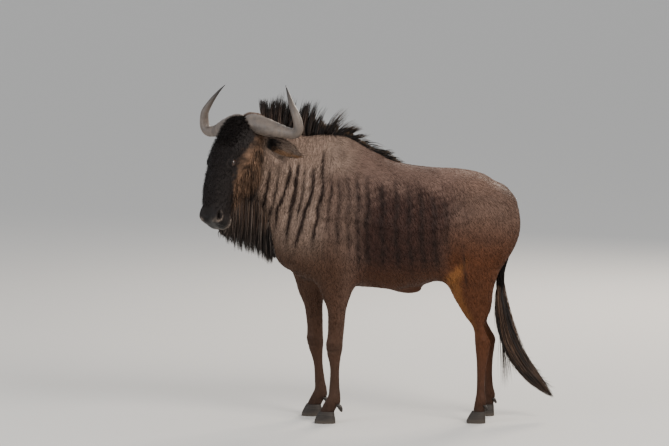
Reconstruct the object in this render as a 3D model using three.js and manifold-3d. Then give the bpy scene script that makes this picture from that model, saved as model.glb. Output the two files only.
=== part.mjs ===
// A life-size blue wildebeest bull that stands still, with its head turned to its left.
// Millimetres, +Z up. The bull faces -X, its left side is towards -Y, and the ground is at z = 0.
// Skin, muscle and bone are one smooth field, meshed in parts that meet at flat, thin cuts.
import * as THREE from "three";
import { mergeVertices } from "three/addons/utils/BufferGeometryUtils.js";
import Module from "manifold-3d";

const wasm = await Module();
wasm.setup();

// Driving sizes
const GAP = 0.3; // between two parts that touch
const WITHERS = 1386; // height of the shoulder hump
const HEAD_TURN = 50; // degrees to the left of the body's line
const HEAD_PITCH = 63; // degrees below level, along the nose
const HEAD_ROLL = 3; // degrees, left horn up
const EYE_RADIUS = 20;
const HOOF_HEIGHT = 52;
const STANCE = 115; // sideways distance of each foot from the middle
const SEED = 7;

const radians = THREE.MathUtils.degToRad;
const lerp = THREE.MathUtils.lerp;
const clamp = THREE.MathUtils.clamp;
const vec = (x, y, z) => new THREE.Vector3(x, y, z);
const X = vec(1, 0, 0);
const Z = vec(0, 0, 1);

// Numbers that run smoothly through a few rows.

// Each row starts with its place along the line. The rest of the row is blended by a cubic.
function smoothRows(rows) {
  const slopes = rows.map((row, i) => {
    const before = rows[Math.max(0, i - 1)];
    const after = rows[Math.min(rows.length - 1, i + 1)];
    return row.map((_, c) => (after[c] - before[c]) / (after[0] - before[0]));
  });
  return (place) => {
    if (place <= rows[0][0]) return rows[0];
    const last = rows.length - 1;
    if (place >= rows[last][0]) return rows[last];
    let i = 1;
    while (rows[i][0] < place) i++;
    const span = rows[i][0] - rows[i - 1][0];
    const s = (place - rows[i - 1][0]) / span;
    const s2 = s * s;
    const s3 = s2 * s;
    return rows[i].map(
      (_, c) =>
        rows[i - 1][c] * (2 * s3 - 3 * s2 + 1) +
        slopes[i - 1][c] * span * (s3 - 2 * s2 + s) +
        rows[i][c] * (3 * s2 - 2 * s3) +
        slopes[i][c] * span * (s3 - s2),
    );
  };
}

// A local frame: along the limb, up (its back or front) and to its left side.
class Frame {
  constructor(origin, along, side) {
    this.origin = origin;
    this.along = along.clone().normalize();
    this.up = this.along.clone().cross(side).normalize();
    this.side = this.up.clone().cross(this.along).normalize();
  }
  place(along, up, side) {
    return this.origin
      .clone()
      .addScaledVector(this.along, along)
      .addScaledVector(this.up, up)
      .addScaledVector(this.side, side);
  }
  direction(along, up, side) {
    return this.place(along, up, side).sub(this.origin).normalize();
  }
}

// The field of a swelling limb: negative inside, and roughly millimetres away from its skin.
// rows: [along, top, bottom, half width, sideways shift, narrowing of the top, narrowing of the bottom]
function limb(frame, rows, { power = 2, cap = 60 } = {}) {
  const at = smoothRows(rows);
  const start = rows[0][0];
  const end = rows[rows.length - 1][0];
  const { origin, along, up, side } = frame;
  return (p) => {
    const dx = p.x - origin.x;
    const dy = p.y - origin.y;
    const dz = p.z - origin.z;
    const t = dx * along.x + dy * along.y + dz * along.z;
    const u = dx * up.x + dy * up.y + dz * up.z;
    const v = dx * side.x + dy * side.y + dz * side.z;
    const [, top, bottom, half, shift = 0, ridge = 0, keel = 0] = at(t);
    const tall = (top - bottom) / 2;
    const s = (u - (top + bottom) / 2) / tall;
    const narrow = 1 - ridge * clamp(s, 0, 1) - keel * clamp(-s, 0, 1);
    const past = Math.max(start - t, t - end, 0) / cap;
    const sum =
      Math.abs(s) ** power +
      Math.abs((v - shift) / (half * narrow)) ** power +
      past ** power;
    return (sum ** (1 / power) - 1) * Math.min(tall, half);
  };
}

// The field of an egg: centre, half sizes along a frame's three directions.
function egg(frame, centre, sizes) {
  const c = frame.place(...centre);
  const small = Math.min(...sizes);
  return (p) => {
    const d = vec(p.x - c.x, p.y - c.y, p.z - c.z);
    return (
      (Math.hypot(
        d.dot(frame.along) / sizes[0],
        d.dot(frame.up) / sizes[1],
        d.dot(frame.side) / sizes[2],
      ) -
        1) *
      small
    );
  };
}

// Two fields joined with a rounded fillet, or the second cut out of the first.
function join(a, b, fillet) {
  const h = Math.max(fillet - Math.abs(a - b), 0) / fillet;
  return Math.min(a, b) - (h * h * fillet) / 4;
}
const carve = (a, b, fillet) => -join(-a, b, fillet);

// The body.

const WORLD = new Frame(vec(0, 0, 0), X, vec(0, 1, 0));
const SIDES = { left: 1, right: -1 };

// [x, top, belly, half width, shift, narrower at the back line, narrower at the belly]
const TRUNK_ROWS = [
  [-545, 1060, 760, 105, 0, 0.2, 0.2],
  [-490, 1230, 700, 158, 0, 0.3, 0.3],
  [-410, WITHERS - 40, 672, 192, 0, 0.4, 0.35],
  [-330, WITHERS - 6, 662, 212, 0, 0.5, 0.32],
  [-262, WITHERS, 658, 224, 0, 0.52, 0.28],
  [-150, WITHERS - 57, 652, 244, 0, 0.4, 0.2],
  [0, WITHERS - 114, 642, 260, 0, 0.26, 0.1],
  [150, WITHERS - 137, 676, 258, 0, 0.2, 0.08],
  [290, WITHERS - 145, 748, 236, 0, 0.2, 0.1],
  [400, WITHERS - 168, 830, 205, 0, 0.25, 0.1],
  [480, WITHERS - 216, 880, 165, 0, 0.3, 0.1],
];
const trunk = limb(WORLD, TRUNK_ROWS, { power: 2.15, cap: 78 });

const NECK_BASE = vec(-330, 0, 1040);
const NECK_TOP = vec(-722, -118, 1366);
const NECK_TURN = radians(17);
const neckFrame = new Frame(
  NECK_BASE,
  NECK_TOP.clone().sub(NECK_BASE),
  vec(Math.sin(NECK_TURN), -Math.cos(NECK_TURN), 0),
);
// [along the neck, crest, throat, half width, shift]
const NECK_ROWS = [
  [0, 318, -300, 190, 0, 0.3, 0.2],
  [120, 292, -292, 166, -12, 0.35, 0.25],
  [240, 242, -252, 134, -16, 0.38, 0.3],
  [360, 186, -206, 108, -8, 0.35, 0.3],
  [480, 140, -160, 92, 0, 0.25, 0.25],
  [570, 110, -120, 78, 0, 0.2, 0.2],
];
const neck = limb(neckFrame, NECK_ROWS, { power: 2, cap: 70 });

// The head's own frame: along the nose, up out of the forehead, and to its left.
function headFrameAt(origin) {
  const turn = radians(HEAD_TURN);
  const level = vec(-Math.cos(turn), -Math.sin(turn), 0);
  const left = vec(Math.sin(turn), -Math.cos(turn), 0);
  const along = level.clone().applyAxisAngle(left, radians(HEAD_PITCH));
  const rolled = left.clone().applyAxisAngle(along, radians(HEAD_ROLL));
  return new Frame(origin, along, rolled);
}
const HEAD_AT = vec(-764, -150, 1369);
const headFrame = headFrameAt(HEAD_AT);

// [along the nose, forehead, jaw, half width, shift, narrower on top, narrower below]
const HEAD_ROWS = [
  [-130, 26, -50, 62, 0, 0.1, 0.1],
  [-85, 58, -78, 78, 0, 0.1, 0.2],
  [-20, 110, -98, 91, 0, 0.1, 0.3],
  [62, 141, -104, 96, 0, 0.12, 0.38],
  [140, 145, -88, 87, 0, 0.14, 0.4],
  [223, 145, -60, 73, 0, 0.1, 0.35],
  [300, 131, -46, 65, 0, 0.1, 0.25],
  [361, 105, -46, 60, 0, 0.12, 0.15],
  [405, 68, -54, 57, 0, 0.15, 0.1],
];
const skull = limb(headFrame, HEAD_ROWS, { power: 2.5, cap: 34 });
const HEAD_EYE = [130, 88];
const EYE_SUNK = 12; // how far the eye's centre lies under the skin

// Brow, cheek, nose pad and lips on each side of the skull.
const headEggs = Object.values(SIDES).flatMap((s) => [
  [egg(headFrame, [106, 92, s * 58], [54, 28, 26]), 26],
  [egg(headFrame, [60, -28, s * 52], [88, 62, 40]), 34],
  [egg(headFrame, [392, 50, s * 36], [40, 32, 28]), 22],
  [egg(headFrame, [402, -6, s * 30], [38, 36, 36]), 20],
]);
const chin = egg(headFrame, [392, -46, 0], [40, 24, 42]);
const forehead = egg(headFrame, [-38, 84, 0], [66, 46, 56]);

// [height, front, rear, half width, side shift] of a foreleg and a hind leg, front and rear from its own line
const FORE_ROWS = [
  [52, 72, -2, 26, 0],
  [75, 62, -14, 26, 0],
  [98, 50, -31, 27, 0],
  [135, 31, -32, 24, 0],
  [175, 27, -27, 20, 0],
  [250, 24, -24, 19, 0],
  [290, 29, -26, 22, 0],
  [330, 39, -31, 29, 0],
  [365, 46, -37, 35, 0],
  [410, 43, -39, 34, 1],
  [460, 40, -43, 35, 2],
  [550, 46, -52, 39, 4],
  [620, 68, -66, 46, 8],
  [690, 80, -80, 55, 14],
  [780, 88, -96, 62, 20],
  [900, 92, -98, 62, 26],
];
const HIND_ROWS = [
  [52, 37, -22, 22, 0],
  [75, 35, -25, 23, 0],
  [104, 30, -30, 25, 0],
  [150, 22, -23, 19, -2],
  [230, 19, -25, 18, -6],
  [304, 20, -36, 20, -10],
  [354, 24, -47, 25, -12],
  [392, 27, -52, 28, -12],
  [442, 30, -30, 25, -10],
  [477, 42, -20, 27, -8],
  [533, 82, -44, 38, -6],
  [600, 122, -59, 54, -4],
  [655, 150, -70, 66, -2],
  [730, 196, -94, 80, 0],
  [850, 186, -146, 92, 4],
  [960, 150, -168, 94, 6],
  [1080, 118, -150, 82, 2],
];
// Where each leg stands, and how far its top leans forward of its foot.
const LEGS = {
  foreleg_left: { rows: FORE_ROWS, x: -323, side: 1, lean: -12, hoof: 45 },
  foreleg_right: { rows: FORE_ROWS, x: -388, side: -1, lean: 48, hoof: 45 },
  hindleg_left: { rows: HIND_ROWS, x: 394, side: 1, lean: 8, hoof: 23 },
  hindleg_right: { rows: HIND_ROWS, x: 449, side: -1, lean: 60, hoof: 23 },
};
const LEAN_FROM = 110;
const LEAN_TO = { foreleg: 640, hindleg: 800 };
const kindOf = (name) => name.split("_")[0];

function legField(name) {
  const { rows, x, side, lean } = LEGS[name];
  const span = LEAN_TO[kindOf(name)] - LEAN_FROM;
  const own = rows.map(([height, front, rear, half, shift]) => {
    const forward = lean * clamp((height - LEAN_FROM) / span, 0, 1) - x;
    const out = STANCE + shift - 10 * clamp((height - 60) / 300, 0, 1);
    return [height, front + forward, rear + forward, half, -out * side];
  });
  const frame = new Frame(vec(0, 0, 0), Z, vec(0, 1, 0));
  return limb(frame, own, { power: 2, cap: 60 });
}
// [share of the tail, x, z, radius of the dock or of the hair]
const TAIL_ROWS = [
  [0, 470, 1128, 28],
  [0.06, 530, 1075, 28],
  [0.13, 552, 1000, 24],
  [0.21, 543, 905, 21],
  [0.29, 519, 812, 19],
  [0.36, 499, 735, 18],
  [0.43, 495, 650, 21],
  [0.51, 500, 549, 43],
  [0.6, 527, 436, 53],
  [0.69, 559, 348, 48.6],
  [0.77, 605, 274, 43],
  [0.85, 656, 211, 34],
  [0.92, 698, 162, 17],
  [1, 764, 103, 3],
];

// The cleft between the buttocks, where the tail lies.
const CLEFT_WALL = 9;
const cleftRows = TAIL_ROWS.slice(1, 7)
  .map(([, x, z, radius], i) => {
    const deep = radius + CLEFT_WALL - (i === 0 ? 30 : 0);
    return [z - 20, deep - x, -x - 90, radius + CLEFT_WALL + 4];
  })
  .reverse();
const cleft = limb(new Frame(vec(0, 0, 0), Z, vec(0, 1, 0)), cleftRows, { power: 2, cap: 40 });

const legFields = Object.fromEntries(
  Object.keys(LEGS).map((name) => [name, legField(name)]),
);

// Shoulder blade, point of the shoulder, hip and stifle on each side, and the sheath under the belly.
const bodyEggs = Object.values(SIDES).flatMap((s) => [
  [egg(WORLD, [-318, 1030, s * 128], [140, 270, 78]), 70],
  [egg(WORLD, [-440, 860, s * 92], [130, 130, 84]), 70],
  [egg(WORLD, [430, 985, s * 96], [140, 165, 96]), 70],
  [egg(WORLD, [352, 1120, s * 120], [90, 70, 70]), 70],
]);
const sheath = egg(WORLD, [48, 640, 0], [56, 20, 20]);

// The whole skin: negative inside.
function flesh(p) {
  let f = join(trunk(p), neck(p), 90);
  for (const [e, fillet] of bodyEggs) f = join(f, e(p), fillet);
  f = join(f, sheath(p), 30);
  let legs = 1e9;
  for (const leg of Object.values(legFields)) legs = Math.min(legs, leg(p));
  f = join(f, legs, 62);
  f = carve(f, cleft(p), 16);
  let h = skull(p);
  for (const [e, fillet] of headEggs) h = join(h, e(p), fillet);
  h = join(h, chin(p), 18);
  h = join(h, forehead(p), 40);
  return join(f, h, 60);
}

// Closed meshes.

// A manifold solid from points and triangles.
function solidOf(points, triangles) {
  return new wasm.Manifold(
    new wasm.Mesh({
      numProp: 3,
      vertProperties: new Float32Array(points.flatMap((p) => [p.x, p.y, p.z])),
      triVerts: new Uint32Array(triangles.flat()),
    }),
  );
}

function solidFromGeometry(geometry) {
  const bare = new THREE.BufferGeometry();
  bare.setAttribute("position", geometry.getAttribute("position"));
  bare.setIndex(geometry.index);
  const merged = mergeVertices(bare, 1e-3);
  return new wasm.Manifold(
    new wasm.Mesh({
      numProp: 3,
      vertProperties: new Float32Array(merged.attributes.position.array),
      triVerts: new Uint32Array(merged.index.array),
    }),
  );
}

function geometryOf(solid) {
  const mesh = solid.getMesh();
  const points = new Float32Array(mesh.numVert * 3);
  for (let i = 0; i < mesh.numVert; i++)
    points.set(mesh.vertProperties.subarray(i * mesh.numProp, i * mesh.numProp + 3), i * 3);
  const geometry = new THREE.BufferGeometry();
  geometry.setAttribute("position", new THREE.BufferAttribute(points, 3));
  geometry.setIndex(new THREE.BufferAttribute(mesh.triVerts, 1));
  geometry.computeVertexNormals();
  return geometry;
}

// The biggest closed surface of a solid.
function largest(solid) {
  return solid.decompose().sort((a, b) => b.volume() - a.volume())[0];
}

function fuse(solids) {
  return solids.reduce((all, one) => all.add(one));
}

// A closed loft through rings of points, turned the right way round.
function loft(rings) {
  const points = rings.flat();
  const n = rings[0].length;
  const triangles = [];
  rings.slice(1).forEach((_, r) => {
    for (let i = 0; i < n; i++) {
      const j = (i + 1) % n;
      const [a, b, c, d] = [r * n + i, r * n + j, r * n + n + j, r * n + n + i];
      triangles.push([a, b, c], [a, c, d]);
    }
  });
  for (const [ring, start] of [
    [rings[0], 0],
    [rings[rings.length - 1], (rings.length - 1) * n],
  ]) {
    const hub = points.length;
    points.push(ring.reduce((sum, p) => sum.add(p), vec(0, 0, 0)).divideScalar(n));
    for (let i = 0; i < n; i++) {
      const pair = [start + i, start + ((i + 1) % n)];
      triangles.push(start === 0 ? [hub, pair[1], pair[0]] : [hub, pair[0], pair[1]]);
    }
  }
  let solid = solidOf(points, triangles);
  if (solid.volume() < 0) solid = solidOf(points, triangles.map(([a, b, c]) => [a, c, b]));
  return solid;
}

// A net of cells over the field inside a box, pulled on to the skin.
function net(field, low, high, cell) {
  const inside = (p) =>
    Math.max(
      low.x - p.x, p.x - high.x,
      low.y - p.y, p.y - high.y,
      low.z - p.z, p.z - high.z,
    );
  const capped = (p) => Math.max(field(p), inside(p));
  const from = low.clone().sub(cell);
  const count = high.clone().sub(low).divide(cell).ceil().addScalar(3);
  const index = (i, j, k) => (k * count.y + j) * count.x + i;
  const corner = (i, j, k) => vec(i, j, k).multiply(cell).add(from);
  const values = new Float32Array(count.x * count.y * count.z);
  for (let k = 0; k < count.z; k++)
    for (let j = 0; j < count.y; j++)
      for (let i = 0; i < count.x; i++) values[index(i, j, k)] = capped(corner(i, j, k));
  const points = [];
  const cellPoint = new Map();
  const CORNERS = [0, 1, 2, 3, 4, 5, 6, 7].map((b) => [b & 1, (b >> 1) & 1, (b >> 2) & 1]);
  for (let k = 0; k < count.z - 1; k++)
    for (let j = 0; j < count.y - 1; j++)
      for (let i = 0; i < count.x - 1; i++) {
        const sum = vec(0, 0, 0);
        let crossings = 0;
        for (let a = 0; a < 8; a++)
          for (const bit of [1, 2, 4]) {
            const b = a | bit;
            if (b === a) continue;
            const va = values[index(i + CORNERS[a][0], j + CORNERS[a][1], k + CORNERS[a][2])];
            const vb = values[index(i + CORNERS[b][0], j + CORNERS[b][1], k + CORNERS[b][2])];
            if (va < 0 === vb < 0) continue;
            const t = va / (va - vb);
            sum.add(vec(...CORNERS[a]).lerp(vec(...CORNERS[b]), t));
            crossings++;
          }
        if (!crossings) continue;
        sum.divideScalar(crossings).add(vec(i, j, k)).multiply(cell).add(from);
        cellPoint.set(index(i, j, k), points.length);
        points.push(pulled(capped, sum, 0.4 * Math.min(cell.x, cell.y, cell.z)));
      }
  const triangles = [];
  const quad = (a, b, c, d, flip) => {
    const q = [a, b, c, d].map((cellIndex) => cellPoint.get(cellIndex));
    const short =
      points[q[0]].distanceTo(points[q[2]]) < points[q[1]].distanceTo(points[q[3]]);
    const pair = short
      ? [[q[0], q[1], q[2]], [q[0], q[2], q[3]]]
      : [[q[0], q[1], q[3]], [q[1], q[2], q[3]]];
    for (const [u, v, w] of pair) triangles.push(flip ? [u, w, v] : [u, v, w]);
  };
  for (let k = 1; k < count.z - 1; k++)
    for (let j = 1; j < count.y - 1; j++)
      for (let i = 1; i < count.x - 1; i++) {
        const here = values[index(i, j, k)] < 0;
        if (here !== values[index(i + 1, j, k)] < 0)
          quad(
            index(i, j - 1, k - 1), index(i, j, k - 1), index(i, j, k), index(i, j - 1, k), !here,
          );
        if (here !== values[index(i, j + 1, k)] < 0)
          quad(
            index(i - 1, j, k - 1), index(i - 1, j, k), index(i, j, k), index(i, j, k - 1), !here,
          );
        if (here !== values[index(i, j, k + 1)] < 0)
          quad(
            index(i - 1, j - 1, k), index(i, j - 1, k), index(i, j, k), index(i - 1, j, k), !here,
          );
      }
  return solidOf(points, triangles);
}

// A point moved on to the field's skin, by no more than a few short steps.
function pulled(field, point, most) {
  const p = point.clone();
  const start = point.clone();
  const e = 0.5;
  for (let step = 0; step < 3; step++) {
    const value = field(p);
    const slope = vec(
      field(vec(p.x + e, p.y, p.z)) - field(vec(p.x - e, p.y, p.z)),
      field(vec(p.x, p.y + e, p.z)) - field(vec(p.x, p.y - e, p.z)),
      field(vec(p.x, p.y, p.z + e)) - field(vec(p.x, p.y, p.z - e)),
    ).divideScalar(2 * e);
    if (slope.lengthSq() < 1e-6) break;
    p.addScaledVector(slope, -value / slope.lengthSq());
    const moved = p.clone().sub(start);
    if (moved.length() > most) p.copy(start).addScaledVector(moved.normalize(), most);
  }
  return p;
}

// Where a ray from inside leaves the skin.
function skinPoint(inside, direction, reach = 700) {
  let low = 0;
  let high = reach;
  for (let d = 0; d < reach; d += 6)
    if (flesh(inside.clone().addScaledVector(direction, d)) > 0) {
      high = d;
      low = Math.max(0, d - 6);
      break;
    }
  for (let i = 0; i < 12; i++) {
    const middle = (low + high) / 2;
    if (flesh(inside.clone().addScaledVector(direction, middle)) > 0) high = middle;
    else low = middle;
  }
  return inside.clone().addScaledVector(direction, low);
}

// Cuts between the parts.

const FAR = 4000;
// Everything on the far side of a flat cut, with half the gap.
function beyond({ point, normal }, side) {
  const n = normal.clone().multiplyScalar(side);
  const box = new THREE.BoxGeometry(FAR, FAR, FAR);
  box.translate(0, 0, FAR / 2 - GAP / 2);
  box.applyQuaternion(new THREE.Quaternion().setFromUnitVectors(Z, n));
  box.translate(point.x, point.y, point.z);
  return solidFromGeometry(box);
}
// The part of a solid behind a cut (side 1 drops what lies ahead of its normal).
const cut = (solid, plane, side) => solid.subtract(beyond(plane, side));

const level = (z) => ({ point: vec(0, 0, z), normal: Z });
const turnedLevel = vec(-Math.cos(radians(HEAD_TURN)), -Math.sin(radians(HEAD_TURN)), 0);
// Behind the jaw and the ears, nearly upright across the top of the neck.
const HEAD_CUT_TURN = radians(26);
const HEAD_CUT = {
  point: vec(-676, -100, 1350),
  normal: vec(-Math.cos(HEAD_CUT_TURN), -Math.sin(HEAD_CUT_TURN), 0.12).normalize(),
};
// From the breast up and back to the withers, as steep as the mane leans there.
const NECK_LEAN = radians(24);
const NECK_CUT = {
  point: vec(-362, 0, WITHERS),
  normal: vec(-Math.cos(NECK_LEAN), 0, Math.sin(NECK_LEAN)),
};
const FORE_CUT = level(652);
// From the flank down and back to the buttock.
const HIND_CUT = {
  point: vec(200, 0, 712),
  normal: vec(-0.489, 0, 0.872).normalize(),
};
const FLANK_CUT = { point: vec(190, 0, 0), normal: X };
const MIDDLE = { point: vec(0, 0, 0), normal: vec(0, -1, 0) };
const KNEE_CUT = level(334);
const HOCK_CUT = level(342);
const HOOF_CUT = level(HOOF_HEIGHT);

// Horns, ears, eyes and hooves.

// [step, out, ahead, up, half thickness, half breadth] from the boss to the tip, about the poll
const HORN_ROWS = [
  [0, 14, 0, 0, 32, 38],
  [1, 34, 0, 0, 40, 45],
  [2, 70, -5, -3, 43, 47],
  [3, 137, -20, -21, 41, 43],
  [4, 192, -34, -35, 33, 34],
  [5, 236, -42, -44, 28, 28],
  [6, 278, -46, -46, 26, 26],
  [7, 301, -46, -28, 25, 25],
  [8, 304, -42, 5, 23, 23],
  [9, 293, -36, 48, 20, 20],
  [10, 269, -41, 86, 15.5, 15.5],
  [11, 243, -53, 124, 10.5, 10.5],
  [12, 217, -68, 158, 5.5, 5.5],
  [13, 195, -82, 183, 1.5, 1.5],
];
const HORN_AT = vec(-755, -141, 1468);
const hornFrame = new Frame(HORN_AT, turnedLevel, headFrame.side);
const HORN_SIDES = 10;
const HORN_STEPS = 20;
const HORN_WRINKLE = 1.6;
function horn(side, grown = 0) {
  const at = smoothRows(HORN_ROWS);
  const last = HORN_ROWS.length - 1;
  const centre = (t) => {
    const [, out, ahead, up] = at(t);
    return hornFrame.place(ahead, up, side * out);
  };
  const rings = [];
  for (let i = 0; i <= HORN_STEPS; i++) {
    const t = (last * i) / HORN_STEPS;
    const [, , , , thick, broad] = at(t);
    const tangent = centre(Math.min(t + 0.05, last)).sub(centre(Math.max(t - 0.05, 0))).normalize();
    const across = headFrame.up.clone().cross(tangent).normalize();
    const up = tangent.clone().cross(across);
    const wrinkle = i % 2 === 0 || t > 6 ? 0 : HORN_WRINKLE;
    rings.push(
      Array.from({ length: HORN_SIDES }, (_, k) => {
        const a = (2 * Math.PI * k) / HORN_SIDES;
        return centre(t)
          .addScaledVector(across, Math.cos(a) * (broad - wrinkle + grown))
          .addScaledVector(up, Math.sin(a) * (thick - wrinkle + grown));
      }),
    );
  }
  if (grown) rings.unshift(rings[0].map((p) => p.clone().addScaledVector(headFrame.side, -side)));
  return loft(rings);
}

const EAR_ROOT = [-34, -40, 84];
const EAR_LENGTH = 204;
const EAR_WALL = 4;
// [share of the length, half breadth, depth of the cup]
const EAR_ROWS = [
  [0, 27, 22],
  [0.14, 37, 26],
  [0.32, 44, 26],
  [0.52, 48, 22],
  [0.72, 41, 16],
  [0.88, 25, 9],
  [1, 5, 3],
];
const EAR_STEPS = 9;
const EAR_ARC = 7;
// A leaf rolled into a cup that opens forward and down, solid at its root.
function ear(side, grown = 0) {
  const at = smoothRows(EAR_ROWS);
  const turn = radians(HEAD_TURN);
  const out = vec(Math.sin(turn), -Math.cos(turn), 0).multiplyScalar(side);
  const axis = out
    .clone()
    .multiplyScalar(166)
    .addScaledVector(turnedLevel, -66)
    .addScaledVector(Z, -52)
    .normalize();
  const open = turnedLevel.clone().multiplyScalar(0.72).addScaledVector(Z, -0.35);
  open.addScaledVector(out, 0.35).addScaledVector(axis, -open.dot(axis)).normalize();
  const broad = axis.clone().cross(open).normalize();
  const root = headFrame.place(EAR_ROOT[0], EAR_ROOT[1], side * EAR_ROOT[2]);
  const rings = [];
  for (let i = 0; i <= EAR_STEPS; i++) {
    const s = i / EAR_STEPS;
    const [, half, deep] = at(s);
    const hollow = grown ? 0 : clamp((s - 0.12) / 0.2, 0, 1);
    const centre = root
      .clone()
      .addScaledVector(axis, EAR_LENGTH * s)
      .addScaledVector(Z, -10 * s * s)
      .addScaledVector(open, -8 * Math.sin(Math.PI * s));
    const ring = [];
    for (const inner of [false, true])
      for (let k = 0; k < EAR_ARC; k++) {
        const a = Math.PI * (inner ? 1 - k / (EAR_ARC - 1) : k / (EAR_ARC - 1));
        const edge = 0.75 + 0.25 * Math.sin(a);
        const outer = deep + grown;
        const bowl = inner ? lerp(-0.45 * deep, deep - EAR_WALL, hollow) - grown : outer;
        const breadth = (inner ? Math.max(half - EAR_WALL * 0.7, 0.55 * half) : half) + grown;
        ring.push(
          centre
            .clone()
            .addScaledVector(broad, Math.cos(a) * breadth)
            .addScaledVector(open, (inner ? grown : 0) - Math.sin(a) * bowl * edge),
        );
      }
    rings.push(ring);
  }
  if (grown) rings.unshift(rings[0].map((p) => p.clone().sub(axis)));
  return loft(rings);
}

const outward = (side) => headFrame.direction(0.12, 0.1, side);
const EYE_CENTRES = Object.fromEntries(
  Object.values(SIDES).map((side) => [
    side,
    skinPoint(headFrame.place(...HEAD_EYE, 0), outward(side), 200).addScaledVector(
      outward(side),
      -EYE_SUNK,
    ),
  ]),
);
const eyeCentre = (side) => EYE_CENTRES[side];
function ball(centre, radius, [wide, tall] = [12, 8]) {
  const sphere = new THREE.SphereGeometry(radius, wide, tall);
  sphere.translate(centre.x, centre.y, centre.z);
  return solidFromGeometry(sphere);
}
// A squeezed ball along a frame's directions.
function eggSolid(frame, centre, sizes, detail) {
  const sphere = new THREE.SphereGeometry(1, ...detail);
  const matrix = new THREE.Matrix4().makeBasis(
    frame.along.clone().multiplyScalar(sizes[0]),
    frame.up.clone().multiplyScalar(sizes[1]),
    frame.side.clone().multiplyScalar(sizes[2]),
  );
  matrix.setPosition(frame.place(...centre));
  sphere.applyMatrix4(matrix);
  return solidFromGeometry(sphere);
}

// One lid: a tapering rim that hugs the eyeball above or below.
const LID_STEPS = 6;
const LID_SECTION = 4;
function lid(side, upper) {
  const rings = [];
  for (let i = 0; i <= LID_STEPS; i++) {
    const s = i / LID_STEPS;
    const a = Math.PI * s;
    const arch = Math.sin(a);
    const reach = EYE_RADIUS + 2.5;
    const along = -Math.cos(a) * (EYE_RADIUS + 5);
    const up = (upper ? 12 : -11) * arch + 4 * Math.cos(a);
    const bulge = Math.sqrt(Math.max(reach * reach - 0.55 * along * along - up * up, 16));
    const centre = eyeCentre(side)
      .clone()
      .addScaledVector(headFrame.along, along)
      .addScaledVector(headFrame.up, up)
      .addScaledVector(outward(side), bulge - 4);
    const size = 2 + (upper ? 4.6 : 3.4) * arch;
    rings.push(
      Array.from({ length: LID_SECTION }, (_, k) => {
        const b = (2 * Math.PI * k) / LID_SECTION;
        return centre
          .clone()
          .addScaledVector(headFrame.up, Math.cos(b) * size)
          .addScaledVector(headFrame.side, Math.sin(b) * size * 1.2);
      }),
    );
  }
  return loft(rings);
}

// The line of the mouth: a thin curved blade to cut with, from the front round to each corner.
const MOUTH_STEPS = 12;
const MOUTH_DEPTH = 9;
const MOUTH_HALF = 1.6;
function mouthBlade() {
  const rings = [];
  for (let i = -MOUTH_STEPS; i <= MOUTH_STEPS; i++) {
    const s = Math.abs(i) / MOUTH_STEPS;
    const side = Math.sign(i);
    const a = Math.min(s / 0.4, 1) * (Math.PI / 2);
    const back = clamp((s - 0.4) / 0.6, 0, 1);
    const along = 398 + 36 * Math.cos(a) - 34 * back;
    const out = side * (50 * Math.sin(a) - 4 * back);
    const up = -36 + 6 * Math.sin(a);
    const skinAt = skinPoint(
      headFrame.place(along - 40 * Math.cos(a), up, out * 0.2),
      headFrame.direction(Math.cos(a) + 0.02, 0, side * Math.sin(a)),
      140,
    );
    const inward = headFrame.direction(-Math.cos(a) - 0.02, 0, -side * Math.sin(a));
    const half = MOUTH_HALF * (1 - 0.7 * back);
    rings.push([
      skinAt.clone().addScaledVector(inward, MOUTH_DEPTH * (1 - 0.5 * back)),
      skinAt.clone().addScaledVector(inward, -6).addScaledVector(headFrame.up, half * 2.2),
      skinAt.clone().addScaledVector(inward, -6).addScaledVector(headFrame.up, -half * 2.2),
    ]);
  }
  return loft(rings);
}

// A cloven hoof: two claws that part at the toe, under a short collar.
const CLAW_SIDES = 8;
function hoof(name) {
  const { x, side, hoof: reach } = LEGS[name];
  const fore = kindOf(name) === "foreleg";
  const long = fore ? 52 : 46;
  const wide = fore ? 27 : 24;
  const slip = fore ? 8 : 12;
  const centre = vec(x - reach, -side * STANCE, 0);
  // [height, half length, half width, backward slip]
  const rows = [
    [0, long, wide, 0],
    [12, long * 0.97, wide * 0.98, slip * 0.12],
    [34, long * 0.84, wide * 0.86, slip * 0.55],
    [HOOF_HEIGHT, long * 0.7, wide * 0.7, slip],
  ];
  const claw = (out) =>
    loft(
      rows.map(([height, half, broad, back]) =>
        Array.from({ length: CLAW_SIDES }, (_, k) => {
          const a = (2 * Math.PI * k) / CLAW_SIDES;
          const toe = (1 - Math.cos(a)) / 2; // 1 at the toe, towards -X
          const y = Math.sin(a) * broad * (1 - 0.4 * toe) + out * (broad * 0.78 + 4 * toe);
          return vec(centre.x + back + Math.cos(a) * half, centre.y + y, height);
        }),
      ),
    );
  const web = loft(
    [
      [14, 20, 17, 16],
      [34, 27, 22, 14],
      [HOOF_HEIGHT, long * 0.66, wide * 0.94, slip + 2],
    ].map(([height, half, broad, back]) =>
      Array.from({ length: CLAW_SIDES }, (_, k) => {
        const a = (2 * Math.PI * k) / CLAW_SIDES;
        return vec(
          centre.x + back + Math.cos(a) * half,
          centre.y + Math.sin(a) * broad,
          height,
        );
      }),
    ),
  );
  return cut(fuse([claw(1), claw(-1), web]), HOOF_CUT, 1);
}

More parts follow.
